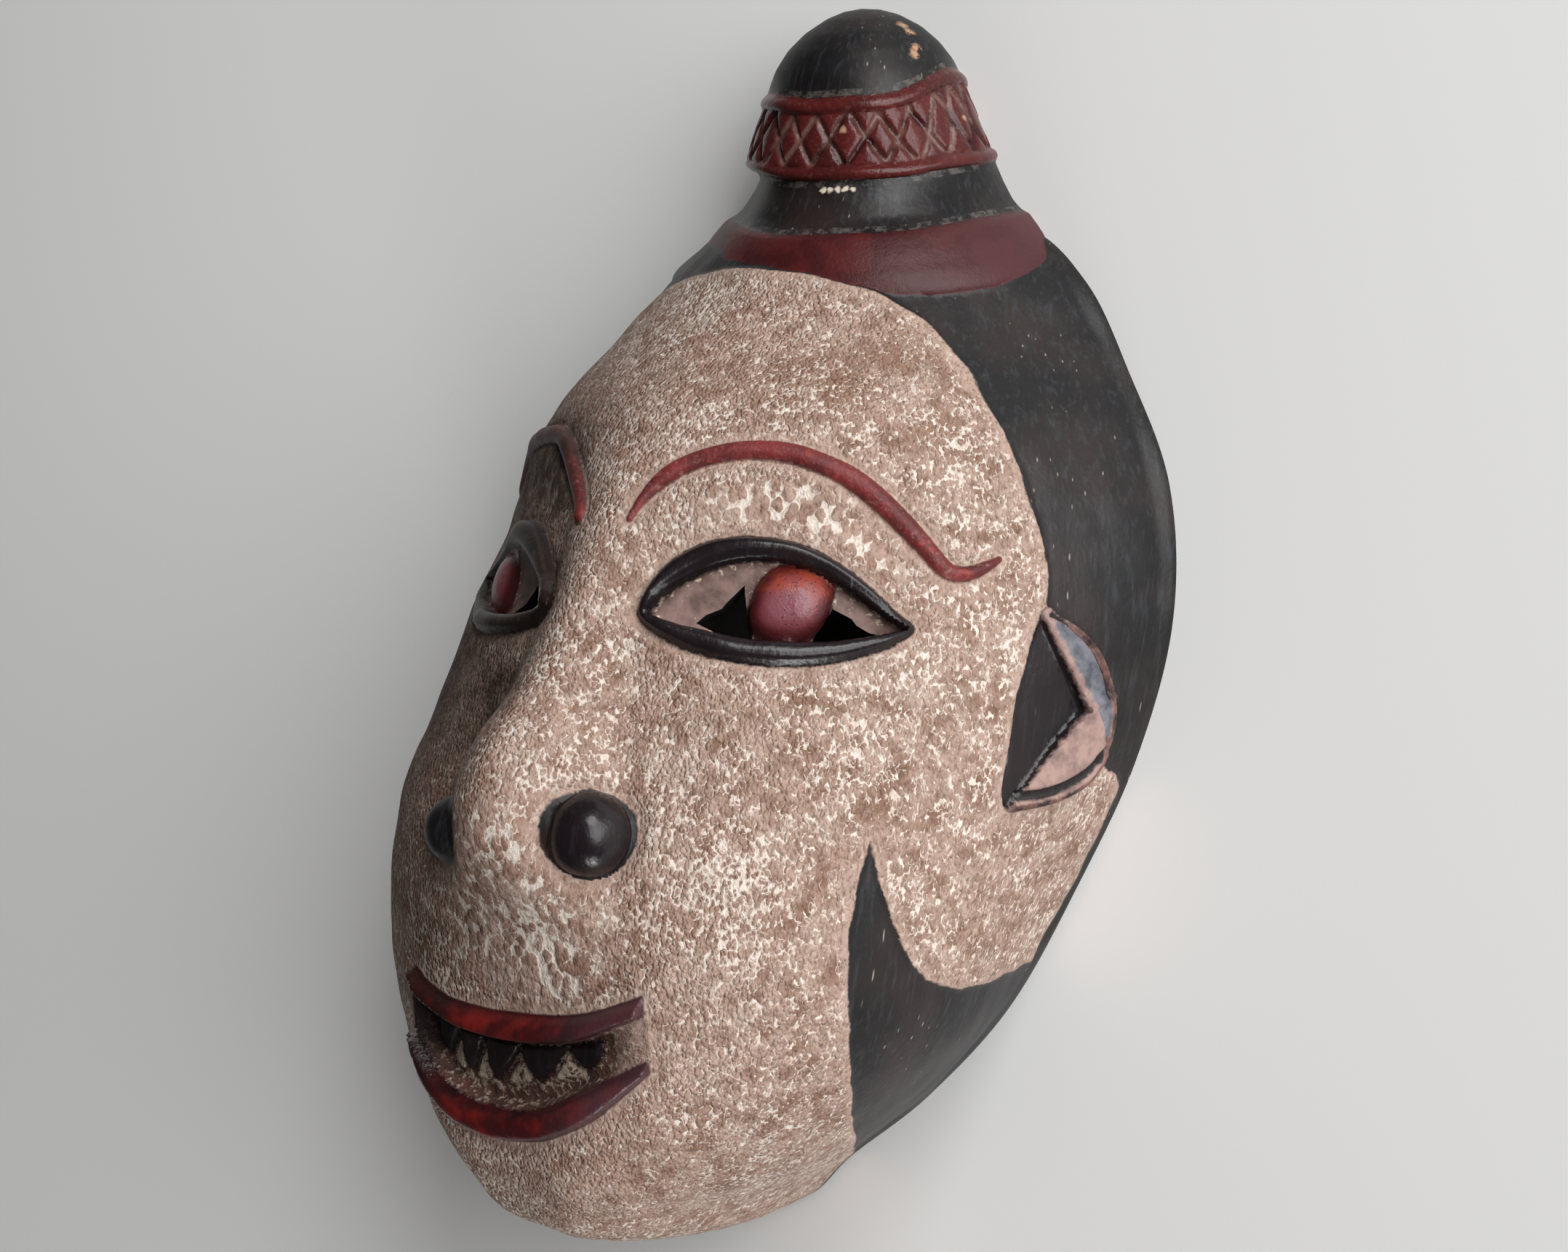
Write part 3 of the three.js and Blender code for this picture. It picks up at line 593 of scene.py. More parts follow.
def makeObject(name, vertices, faces, layers, materials, slot=slots["face"]):
    made = bpy.data.meshes.new(name)
    made.from_pydata((np.asarray(vertices) * metre).tolist(), [], faces)
    for layer in paint:
        values = layers.get(layer)
        attribute = made.attributes.new(layer, "FLOAT", "POINT")
        filled = np.full(len(vertices), -farOff) if values is None else values
        attribute.data.foreach_set("value", np.asarray(filled, np.float32).ravel())
    kept = made.attributes.new("kept", "FLOAT", "POINT")
    kept.data.foreach_set("value", np.ones(len(vertices), np.float32))
    for material in materials:
        made.materials.append(material)
    made.polygons.foreach_set("material_index", np.full(len(made.polygons), slot, np.int32))
    turned = bmesh.new()
    turned.from_mesh(made)
    bmesh.ops.recalc_face_normals(turned, faces=turned.faces)
    turned.to_mesh(made)
    turned.free()
    piece = bpy.data.objects.new(name, made)
    bpy.context.scene.collection.objects.link(piece)
    return piece


def closedGrid(points):
    # faces of a grid that is closed by its two end rows and by its back
    rows, columns = points.shape[:2]
    index = np.arange(rows * columns).reshape(rows, columns)
    quads = np.stack([index[:-1, :-1], index[:-1, 1:], index[1:, 1:], index[1:, :-1]], axis=-1)
    faces = quads.reshape(-1, 4).tolist()
    faces.append(index[0, ::-1].tolist())
    faces.append(index[-1].tolist())
    faces.append([*index[:, 0].tolist(), *index[::-1, -1].tolist()])
    return points.reshape(-1, 3), faces


def makeHead(materials):
    points, across = headGrid(mesh["spacing"])
    carved, layers, surface = carveHead(points, across)
    vertices, faces = closedGrid(carved)
    flat = {name: values.ravel() for name, values in layers.items()}
    return makeObject("head", vertices, faces, flat, materials), surface


def makeHollow(materials):
    # inside of the mask, with the shallow scoops of a gouge
    points, _ = headGrid(mesh["insideSpacing"], head["wall"])
    noseRise = softInterp(points[..., 1], nose["y"], nose["heights"], 8)
    noseRise = noseRise * np.clip(1 - np.abs(points[..., 0]) / 30, 0, 1)
    points[..., 2] += noseRise * 0.35
    scoop = 0.45 * handWobble(points, 14, 8) * smoothStep(0, 12, points[..., 2])
    points = points + gridNormals(points) * scoop[..., None]
    below = points[:, [0, -1]].copy()
    below[..., 2] = -5  # the hollow reaches through the plane of the rim, which leaves it open
    points = np.concatenate([below[:, :1], points, below[:, 1:]], axis=1)
    vertices, faces = closedGrid(points[3:-3])
    return makeObject("hollow", vertices, faces, {}, materials, slots["wood"])


# Topknot: radius at heights along its tilted axis
topknot = {
    "footY": 121.7,
    "footZ": 6,
    "tilt": 18.7,
    "heights": [-18, -15, -12, -8, -4, 0, 2.4, 3.4, 6, 11, 15.6, 17, 26, 36, 40, 41.4, 46, 51.5, 56.2, 60,
                61.8],
    "radii": [54, 62.6, 62.5, 60.4, 57, 52.6, 50.3, 48.4, 45.3, 41.6, 39, 38.5, 34.8, 30.8, 29.2, 28.7,
              26.6, 22.6, 17.4, 10.8, 5.2],
    "top": 62.3,
    "ridges": [(18.8, 1.7, 1.5), (37.2, 1.9, 1.3)],  # the band's borders: height, half width, how proud
    "field": (20.9, 34.9),
    "crossings": 22,
    "grooveHalf": 1.15,
    "grooveDepth": 1.25,
    # turns round the knot in degrees, their reach in radians and, for the first two, millimetres
    "climb": (98, 0.55, 5.0),
    "cutBack": (302, 0.8, 6.5),
    "bareSkirt": (290, 0.75, 1.1),
    "spacing": 0.85,
    "meanRadius": 45,  # where the points of a turn have that spacing
}


def knotPlacing():
    tilt = Matrix.Rotation(np.radians(topknot["tilt"]), 3, "X")
    return np.array(tilt), np.array([0, topknot["footY"], topknot["footZ"]], float)


def turnFrom(turn, place):
    # angle from a place round the topknot
    return np.angle(np.exp(1j * (turn - np.radians(place))))


def bandCuts(level, turn, radius):
    # share of the band's field, distance to the nearest of its crossed cuts, and how deep they go
    low, high = topknot["field"]
    inField = smoothStep(low - 0.3, low + 0.5, level) * (1 - smoothStep(high - 0.5, high + 0.3, level))
    pitch = 2 * np.pi / topknot["crossings"]
    share = (level - low) / (high - low)
    slope = np.arctan2(pitch * radius, high - low)
    shift = np.random.default_rng(5).uniform(-0.13, 0.13, (2, topknot["crossings"] + 2))
    distance = np.full(level.shape, farOff)
    for family, slant in enumerate((-1, 1)):
        place = turn / pitch + slant * (share - 0.5)
        number = np.round(place).astype(int) % topknot["crossings"]
        offset = place - np.round(place) + shift[family][number]
        distance = np.minimum(distance, np.abs(offset) * pitch * radius * np.cos(slope))
    return inField, distance, np.clip(1 - distance / topknot["grooveHalf"], 0, 1)


def makeTopknot(materials):
    heights = np.array(topknot["heights"], float)
    radii = np.array(topknot["radii"], float)
    run = np.concatenate([[0], np.cumsum(np.hypot(np.diff(heights), np.diff(radii)))])
    count = int(run[-1] / topknot["spacing"])
    turns = int(2 * np.pi * topknot["meanRadius"] / topknot["spacing"])
    at = np.linspace(0, run[-1], count)
    around = np.linspace(0, 2 * np.pi, turns, endpoint=False)
    height, turn = np.meshgrid(softInterp(at, run, heights, 1.2), around, indexing="ij")
    radius, _ = np.meshgrid(softInterp(at, run, radii, 1.2), around, indexing="ij")

    # the band's upper border climbs at one side, as the carver let it
    place, reach, rise = topknot["climb"]
    climb = rise * beside(turnFrom(turn, place), reach)
    level = height - climb * smoothStep(24, 36, height) * (1 - smoothStep(44, 56, height))
    wave = 0.35 * np.sin(3 * turn + 0.6) + 0.25 * np.sin(7 * turn + 2)
    level = level + wave * smoothStep(-4, 3, height) * (1 - smoothStep(40, 50, height))

    proud = np.zeros(level.shape)
    for middle, half, rise in topknot["ridges"]:
        proud += rise * np.clip(1 - ((level - middle) / half) ** 2, 0, 1) ** 0.6
    inField, distance, cut = bandCuts(level, turn, radius)
    pillow = 0.6 * (1 - np.exp(-distance / 2.2))
    proud += inField * (pillow - topknot["grooveDepth"] * cut**0.8)
    ledge = 0.9 * (1 - smoothStep(2.0, 3.2, level)) * smoothStep(-6, 0, level)
    # the foot of the black band is cut back on the far side
    place, reach, depth = topknot["cutBack"]
    lost = depth * beside(turnFrom(turn, place), reach)
    radius = radius + proud + ledge - lost * smoothStep(-15, -3, height) * (1 - smoothStep(14, 22, height))

    outward = np.stack([np.sin(turn), 0 * turn, np.cos(turn)], axis=-1)
    local = np.stack([np.sin(turn) * radius, height, np.cos(turn) * radius], axis=-1)
    local = local + 0.3 * handWobble(local, 26, 11)[..., None] * outward
    tilt, foot = knotPlacing()
    placed = local @ tilt.T + foot
    index = np.arange(count * turns).reshape(count, turns)
    nextIndex = np.roll(index, -1, axis=1)
    quads = np.stack([index[:-1], nextIndex[:-1], nextIndex[1:], index[1:]], axis=-1)
    faces = quads.reshape(-1, 4).tolist()
    faces.append(index[0, ::-1].tolist())
    tip = count * turns
    crown = np.array([[0, topknot["top"], 0]]) @ tilt.T + foot
    faces += [[int(a), int(b), tip] for a, b in zip(index[-1], nextIndex[-1])]
    vertices = np.vstack([placed.reshape(-1, 3), crown])
    # on the far side the brim's red stops short of its foot
    place, begin, end = topknot["bareSkirt"]
    skirt = level + 6 + 30 * smoothStep(begin, end, np.abs(turnFrom(turn, place)))
    layers = {"knotHeight": np.append(level.ravel(), topknot["top"]),
              "knotGroove": np.append((inField * cut).ravel(), 0),
              "knotSkirt": np.append(skirt.ravel(), 40)}
    return makeObject("topknot", vertices, faces, layers, materials, slots["knot"])


def surfaceSpot(surface, place):
    # point and normal of the broad form at a place across and up the face
    distance = np.hypot(surface["across"] - place[0], surface["up"] - place[1])
    row, column = np.unravel_index(np.argmin(distance), distance.shape)
    return surface["points"][row, column], surface["normals"][row, column]


def makeBall(name, middle, radius, gloss, materials):
    shape = bmesh.new()
    bmesh.ops.create_icosphere(shape, subdivisions=5, radius=radius)
    corners = np.array([vertex.co[:] for vertex in shape.verts])
    faces = [[vertex.index for vertex in face.verts] for face in shape.faces]
    shape.free()
    corners = corners * (1 + 0.02 * handWobble(corners, 12, 21))[:, None]
    layers = {"gloss": np.full(len(corners), float(gloss))}
    return makeObject(name, corners + middle, faces, layers, materials)


def makePrism(name, outline, low, high, materials, slot):
    # a closed prism through points of the surface, from low to high along their normals
    count = len(outline)
    vertices = np.vstack([[p + n * high for p, n in outline], [p + n * low for p, n in outline]])
    faces = [[i, count + i, count + (i + 1) % count, (i + 1) % count] for i in range(count)]
    faces.append(list(range(count)))
    faces.append(list(range(2 * count - 1, count - 1, -1)))
    return makeObject(name, vertices, faces, {}, materials, slot)


def makeBlock(name, low, high, materials):
    x, y, z = zip(low, high)
    vertices = [(x[i], y[j], z[k]) for i in (0, 1) for j in (0, 1) for k in (0, 1)]
    faces = [(0, 1, 3, 2), (4, 6, 7, 5), (0, 4, 5, 1), (2, 3, 7, 6), (0, 2, 6, 4), (1, 5, 7, 3)]
    return makeObject(name, vertices, faces, {}, materials, slots["wood"])


def combined(target, steps):
    # joins and cuts the target with other closed pieces, which are then gone
    for operation, other in steps:
        step = target.modifiers.new(other.name, "BOOLEAN")
        step.operation = operation
        step.object = other
        step.solver = "MANIFOLD"
        step.material_mode = "TRANSFER"
    applied(target)
    for _, other in steps:
        bpy.data.objects.remove(other)


def applied(piece):
    # puts the outcome of the piece's modifiers into its mesh
    graph = bpy.context.evaluated_depsgraph_get()
    result = bpy.data.meshes.new_from_object(piece.evaluated_get(graph), preserve_all_data_layers=True,
                                             depsgraph=graph)
    piece.modifiers.clear()
    piece.data = result


def fillNewPoints(made):
    # a cut leaves new points without paint distances, so they take their neighbours' mean
    edges = np.empty(len(made.edges) * 2, np.int32)
    made.edges.foreach_get("vertices", edges)
    edges = edges.reshape(-1, 2)
    kept = np.empty(len(made.vertices), np.float32)
    made.attributes["kept"].data.foreach_get("value", kept)
    values = {}
    for layer in paint:
        values[layer] = np.empty(len(made.vertices), np.float32)
        made.attributes[layer].data.foreach_get("value", values[layer])
    for _ in range(4):
        known = kept > 0.5
        total = np.zeros(len(kept))
        pairs = np.vstack([edges, edges[:, ::-1]])
        pairs = pairs[known[pairs[:, 1]] & ~known[pairs[:, 0]]]
        np.add.at(total, pairs[:, 0], 1)
        fresh = total > 0
        for layer in paint:
            added = np.zeros(len(kept))
            np.add.at(added, pairs[:, 0], values[layer][pairs[:, 1]])
            values[layer][fresh] = added[fresh] / total[fresh]
        kept[fresh] = 1
    for layer in paint:
        made.attributes[layer].data.foreach_set("value", values[layer])
    made.attributes.remove(made.attributes["kept"])


def linear(code):
    # sRGB hex to the linear colour that shaders use
    channels = [int(code[i:i + 2], 16) / 255 for i in (0, 2, 4)]
    return (*[c / 12.92 if c <= 0.04045 else ((c + 0.055) / 1.055) ** 2.4 for c in channels], 1)


def add(tree, kind, inputs=(), output=0, **settings):
    # a node with its settings and links, which gives back one of its outputs
    new = tree.nodes.new("ShaderNode" + kind)
    for name, value in settings.items():
        setattr(new, name, value)
    for socket, value in dict(inputs).items():
        if isinstance(value, bpy.types.NodeSocket):
            tree.links.new(value, new.inputs[socket])
        else:
            new.inputs[socket].default_value = linear(value) if isinstance(value, str) else value
    return new.outputs[output] if new.outputs else new


def newMaterial(name):
    # an empty material with the place on the mask in millimetres and the distances that paint follows
    material = bpy.data.materials.new(name)
    material.use_nodes = True
    tree = material.node_tree
    tree.nodes.clear()
    metres = add(tree, "TexCoord", (), "Object")
    place = add(tree, "VectorMath", {0: metres, "Scale": 1 / metre}, operation="SCALE")
    at = {name: add(tree, "Attribute", (), "Fac", attribute_name=name) for name in paint}
    return material, tree, place, at


def finishMaterial(tree, colour, roughness, height, depth, specular=0.5):
    # depth is in millimetres; both clay and paint take the IOR of a waxy, resinous film
    bump = add(tree, "Bump", {"Height": height, "Distance": depth * metre, "Strength": 1.0})
    shader = add(tree, "BsdfPrincipled", {"Base Color": colour, "Roughness": roughness, "IOR": 1.5,
                                          "Specular IOR Level": specular, "Normal": bump})
    add(tree, "OutputMaterial", {0: shader})


def warped(tree, place, size, amount):
    # the place moved about by a noise, so that cells come out ragged
    drift = add(tree, "TexNoise", {"Vector": place, "Scale": 1 / size, "Detail": 1.0}, 1)
    centred = add(tree, "VectorMath", {0: drift, 1: (0.5, 0.5, 0.5)}, operation="SUBTRACT")
    scaled = add(tree, "VectorMath", {0: centred, "Scale": amount}, operation="SCALE")
    return add(tree, "VectorMath", {0: place, 1: scaled}, operation="ADD")


def edged(tree, value, drift, soft=0.25, ragged=0.4):
    # 1 inside a painted area, with an edge as uneven as a hand painted one
    moved = add(tree, "Math", {0: drift, 1: ragged * 3, 2: value}, operation="MULTIPLY_ADD")
    return add(tree, "MapRange", {0: moved, 1: ragged * 1.5 - soft, 2: ragged * 1.5 + soft})


def spots(tree, place, middles, radius, reach=0.6):
    # chips or dots round a few places, in millimetres, with ragged edges
    found = 0.0
    ragged = warped(tree, place, 2.0, 1.6)
    for middle in middles:
        distance = add(tree, "VectorMath", {0: ragged, 1: middle}, "Value", operation="DISTANCE")
        here = add(tree, "MapRange", {0: distance, 1: radius - reach * 0.5, 2: radius + reach * 0.5,
                                      3: 1.0, 4: 0.0})
        found = add(tree, "Math", {0: found, 1: here}, operation="MAXIMUM")
    return found


mixSockets = {"RGBA": (6, 7, 2), "FLOAT": (2, 3, 0)}  # the two inputs and the output that a mix node uses


def coated(tree, base, *coats, kind="RGBA"):
    # Lays coats over a base, one after another. A coat is a colour or number, and then its share, or a
    # value and the range that gives the share: low end, high end and, if not 0 and 1, the shares there.
    under, over, result = mixSockets[kind]
    for coat, share, *span in coats:
        if span:
            share = add(tree, "MapRange", {0: share, **dict(enumerate(span, 1))})
        base = add(tree, "Mix", {0: share, under: base, over: coat}, result, data_type=kind)
    return base


# Kaolin clay rubbed over a brown ground: leathery brown plaques 1 to 3 mm across, and pale chalk left
# in the gaps between them. It is quite matt.
clayLook = {
    "ground": "b4988a",
    "groundDeep": "8a6a59",
    # painted shade for the creases between the plaques
    "creviceShade": "5e4437",
    "stain": "7a5138",
    "chalk": "e0d4c9",
    "chalkThin": "c4b0a1",
    "margin": "b09688",
    # colour of the darkening: painted shade mixed with real patina
    "patinaAndShade": "26150a",
    "plaque": 1.05,
    "largePlaque": 2.6,
    # sizes of the unevenness in millimetres
    "patch": 3.8,
    "drift": 27,
    "curl": 2.7,
    "tone": 7,
    "cloud": 15,
    "wrinkle": 1.1,
    "roughness": 0.85,
    "bump": 0.6,
}


def claySurface(tree, place, at):
    look = clayLook
    slanted = add(tree, "Mapping", {"Vector": place, "Rotation": (0.0, 0.0, 0.6), "Scale": (1.0, 0.7, 1.0)})
    ragged = warped(tree, slanted, 1.7, 1.3)
    brushed = add(tree, "Mapping", {"Vector": ragged, "Scale": (1.0, 0.75, 1.0)})
    fine = add(tree, "TexVoronoi", {"Vector": ragged, "Scale": 1 / look["plaque"]})
    broad = add(tree, "TexVoronoi", {"Vector": ragged, "Scale": 1 / look["largePlaque"]})
    noises = {}
    for name, vector, detail, rough in (("patch", place, 1.0, 0.5), ("drift", place, 1.0, 0.5),
                                        ("curl", ragged, 1.0, 0.5), ("tone", place, 3.0, 0.68),
                                        ("cloud", place, 3.0, 0.75), ("wrinkle", brushed, 2.0, 0.65)):
        noises[name] = add(tree, "TexNoise", {"Vector": vector, "Scale": 1 / look[name], "Detail": detail,
                                              "Roughness": rough})
    patch, tone, wrinkle = noises["patch"], noises["tone"], noises["wrinkle"]

    # the richer the place, the nearer to the plaques' middles the chalk reaches
    rich = add(tree, "Math", {0: patch, 1: 0.55, 2: at["rich"]}, operation="MULTIPLY_ADD")
    rich = add(tree, "Math", {0: noises["drift"], 1: 0.45, 2: rich}, operation="MULTIPLY_ADD")
    reach = add(tree, "MapRange", {0: rich, 1: 0.34, 2: 0.84, 3: 0.86, 4: 0.28})
    cell = coated(tree, fine, (broad, at["large"], -2.0, 4.0), kind="FLOAT")
    gap = add(tree, "Math", {0: cell, 1: reach}, operation="SUBTRACT")
    chalk = add(tree, "MapRange", {0: gap, 1: 0.0, 2: 0.05})
    # thin curls of chalk between the flecks
    curl = add(tree, "Math", {0: noises["curl"], 1: 0.5, 2: 0.018}, operation="COMPARE")
    thick = add(tree, "MapRange", {0: patch, 1: 0.42, 2: 0.5, 3: 0.0, 4: 0.7})
    curl = add(tree, "Math", {0: curl, 1: thick}, operation="MULTIPLY")
    chalk = add(tree, "Math", {0: chalk, 1: curl}, operation="MAXIMUM")
    # round plaques close together under the brow
    combGap = add(tree, "MapRange", {0: broad, 1: 0.56, 2: 0.62})
    inComb = add(tree, "Math", {0: patch, 1: 4.0, 2: at["comb"]}, operation="MULTIPLY_ADD")
    chalk = coated(tree, chalk, (combGap, inComb, 1.6, 2.6), kind="FLOAT")
    # none along the edge of the clay
    margin = add(tree, "Math", {0: patch, 1: 5.0, 2: at["clay"]}, operation="MULTIPLY_ADD")
    away = add(tree, "MapRange", {0: margin, 1: 2.6, 2: 6.0})
    chalk = add(tree, "Math", {0: chalk, 1: away}, operation="MULTIPLY")

    rust = add(tree, "MapRange", {0: tone, 1: 0.4, 2: 0.56})
    rust = add(tree, "Math", {0: rust, 1: at["rust"]}, operation="MULTIPLY", use_clamp=True)
    ground = coated(tree, look["groundDeep"], (look["ground"], tone, 0.36, 0.6), (look["stain"], rust),
                    (look["chalkThin"], noises["cloud"], 0.48, 0.7, 0.0, 0.6))
    # painted shade darkens the ground in the creases, where the wrinkle noise is low
    ground = coated(tree, look["margin"], (ground, away), (look["creviceShade"], wrinkle, 0.3, 0.5, 0.6, 0.0))
    whole = coated(tree, look["chalkThin"], (look["chalk"], wrinkle, 0.35, 0.55))
    colour = coated(tree, ground, (whole, chalk))

    domes = add(tree, "MapRange", {0: cell, 1: 0.15, 2: 0.8, 3: 0.9, 4: 0.0})
    height = add(tree, "Math", {0: wrinkle, 1: 0.9, 2: domes}, operation="MULTIPLY_ADD")
    calm = add(tree, "MapRange", {0: away, 3: 0.35, 4: 1.0})
    height = add(tree, "Math", {0: height, 1: calm}, operation="MULTIPLY")
    return colour, height


# Tukula red and soot black paints, rubbed with oil: satin, darker where thick, dusty where worn
redLook = {
    "red": "782b2b",
    "deep": "501d1d",  # where it lies thick
    "bright": "a2443a",
    "worn": "a5736c",
    "lips": "451315",
    "lipsBright": "701c1b",
    "lipsDark": "1d1012",
    # purple brown of the lips' near end: wear and painted sheen
    "lipsWearAndSheen": "4b3035",
}


def redSurface(tree, place):
    look = redLook
    tone = add(tree, "TexNoise", {"Vector": place, "Scale": 1 / 14, "Detail": 3.0, "Roughness": 0.6})
    fine = add(tree, "TexNoise", {"Vector": place, "Scale": 1 / 2.6, "Detail": 4.0, "Roughness": 0.72})
    colour = coated(tree, look["deep"], (look["red"], tone, 0.38, 0.6),
                    (look["bright"], fine, 0.54, 0.72, 0.0, 0.7), (look["worn"], fine, 0.3, 0.44, 0.6, 0.0))
    height = add(tree, "Math", {0: fine, 1: 0.6}, operation="MULTIPLY")
    return colour, height, tone


def lipColour(tree, x, place, at, tone):
    # oxblood, brighter and blotched with black in the middle and dark along the lip's borders; painted
    # shade
    #     # darkens the far end, and the purple brown towards the near end is partly wear, partly painted
    #     sheen
    look = redLook
    patch = add(tree, "TexNoise", {"Vector": place, "Scale": 1 / 9, "Detail": 2.0})
    return coated(tree, look["lips"], (look["lipsBright"], patch, 0.4, 0.56),
                  (look["lipsDark"], at["red"], 0.3, 2.2, 0.75, 0.0),
                  (look["lipsDark"], tone, 0.52, 0.62, 0.0, 0.8),
                  # painted shade at the far end
                  (look["lipsDark"], x, -14.0, -30.0, 0.0, 0.85),
                  # wear and painted sheen at the near end
                  (look["lipsWearAndSheen"], x, 14.0, 34.0, 0.0, 0.8))


# Soot black of the hair: streaked along its length, greyed by wear and specked with clay dust, and plum
# dark and clean where it is glossy
blackLook = {
    "black": "121113",
    "brown": "2a201f",
    "plum": "1d1418",
    "grey": "3a3d41",
    "speck": "a3988e",
}


def blackSurface(tree, place, at):
    look = blackLook
    fibres = add(tree, "Mapping", {"Vector": place, "Scale": (1.0, 0.14, 1.0)})
    streak = add(tree, "TexNoise", {"Vector": fibres, "Scale": 1 / 1.6, "Detail": 3.0, "Roughness": 0.6})
    cloud = add(tree, "TexNoise", {"Vector": place, "Scale": 1 / 26, "Detail": 3.0})
    specks = add(tree, "TexVoronoi", {"Vector": fibres, "Scale": 1 / 2.6})
    specks = add(tree, "MapRange", {0: specks, 1: 0.06, 2: 0.12, 3: 0.7, 4: 0.0})
    dusty = add(tree, "MapRange", {0: cloud, 1: 0.46, 2: 0.56})
    specks = add(tree, "Math", {0: specks, 1: dusty}, operation="MULTIPLY")
    colour = coated(tree, look["black"], (look["brown"], cloud, 0.42, 0.68),
                    (look["grey"], streak, 0.52, 0.75, 0.0, 0.55), (look["speck"], specks),
                    (look["plum"], at["gloss"], -1.0, 0.0, 0.0, 0.6))
    pits = add(tree, "TexNoise", {"Vector": place, "Scale": 1 / 1.5, "Detail": 1.0})
    height = add(tree, "Math", {0: streak, 1: pits}, operation="ADD")
    height = add(tree, "Math", {0: height, 1: 0.14}, operation="MULTIPLY")
    return colour, height, cloud


# Thin brown wash on the eyeballs and the ears' facets, slate blue on the ears' upper facets: dry, and
# crumbs of clay stick to it
washLook = {
    "deep": "624d47",
    "thin": "866e66",
    "crumb": "cdbba8",
    "slateDeep": "4a4b54",
    "slate": "7b7a82",
    "eyesEnd": 94.0,  # closer to the middle than this the wash is on an eyeball, else on an ear
    "rimDark": "2f2223",
    "rimWorn": "7c5a51",
    "scuff": "2a1815",
    "earDeep": "7d6660",
    "earThin": "a88b82",
}


def washColour(tree, x, at, soft, mottle):
    look = washLook
    crumbs = add(tree, "MapRange", {0: at["wash"], 1: 0.3, 2: 3.2, 3: -0.06, 4: 0.08})
    crumbs = add(tree, "Math", {0: mottle, 1: crumbs}, operation="SUBTRACT")
    crumbs = add(tree, "MapRange", {0: crumbs, 1: 0.6, 2: 0.66})
    side = add(tree, "Math", {0: x}, operation="ABSOLUTE")
    onEye = add(tree, "Math", {0: side, 1: look["eyesEnd"]}, operation="LESS_THAN")
    crumbs = add(tree, "Math", {0: crumbs, 1: onEye}, operation="MULTIPLY")
    eyeball = coated(tree, look["deep"], (look["thin"], soft, 0.38, 0.6), (look["crumb"], crumbs))
    return coated(tree, look["earDeep"], (look["earThin"], soft, 0.38, 0.6), (eyeball, onEye))


# Irises: waxed dull red, dark round the edge, paler in the middle and orange above, with pores
irisLook = {
    "edge": "3a1417",
    "red": "6a2427",
    "middle": "86525a",
    "orange": "a2442a",
    "pore": "4a1f1f",
}


def irisColour(tree, y, place, at):
    look = irisLook
    cloud = add(tree, "TexNoise", {"Vector": place, "Scale": 1 / 6, "Detail": 4.0, "Roughness": 0.65})
    lifted = add(tree, "Math", {0: cloud, 1: 30.0, 2: y}, operation="MULTIPLY_ADD")
    pores = add(tree, "TexVoronoi", {"Vector": place, "Scale": 1 / 1.5})
    return coated(tree, look["edge"], (look["red"], at["iris"], 0.5, 4.0),
                  (look["middle"], at["iris"], 2.0, 5.5, 0.0, 0.85),
                  (look["orange"], lifted, 22.0, 30.0, 0.0, 0.75),
                  (look["edge"], at["iris"], 0.3, 3.4, 0.85, 0.0),
                  (look["pore"], pores, 0.14, 0.24, 0.8, 0.0))


# Old gum and clay packed between the teeth: rough, crumbly and brown
crustLook = {
    "deep": "4b332b",
    "gum": "5c3c34",
    "crumb": "a39382",
}


def crustColour(tree, x, at, soft, mottle, clay):
    # at the mouth's near corner the crust runs out into clay, and at the far one it is painted with the
    # lips' dark as painted shade
    look = crustLook
    crumbs = add(tree, "MapRange", {0: at["crumbs"], 1: -2.5, 2: 1.2, 3: 0.05, 4: -0.08})
    crumbs = add(tree, "Math", {0: mottle, 1: crumbs}, operation="SUBTRACT")
    return coated(tree, look["deep"], (look["gum"], soft, 0.4, 0.56), (look["crumb"], crumbs, 0.5, 0.54),
                  # painted shade at the far corner
                  (clay, x, 31.0, 43.0, 0.0, 0.85), (redLook["lipsDark"], x, -25.0, -32.0, 0.0, 0.9))


# How soft and how ragged the edge of each paint is, in millimetres
paintEdges = {"clay": (0.3, 0.4), "wash": (0.25, 0.3), "slate": (0.4, 0.5), "earRim": (0.3, 0.5),
              "scuff": (0.3, 0.6), "crust": (0.3, 0.4), "red": (0.25, 0.3), "iris": (0.3, 0.4)}


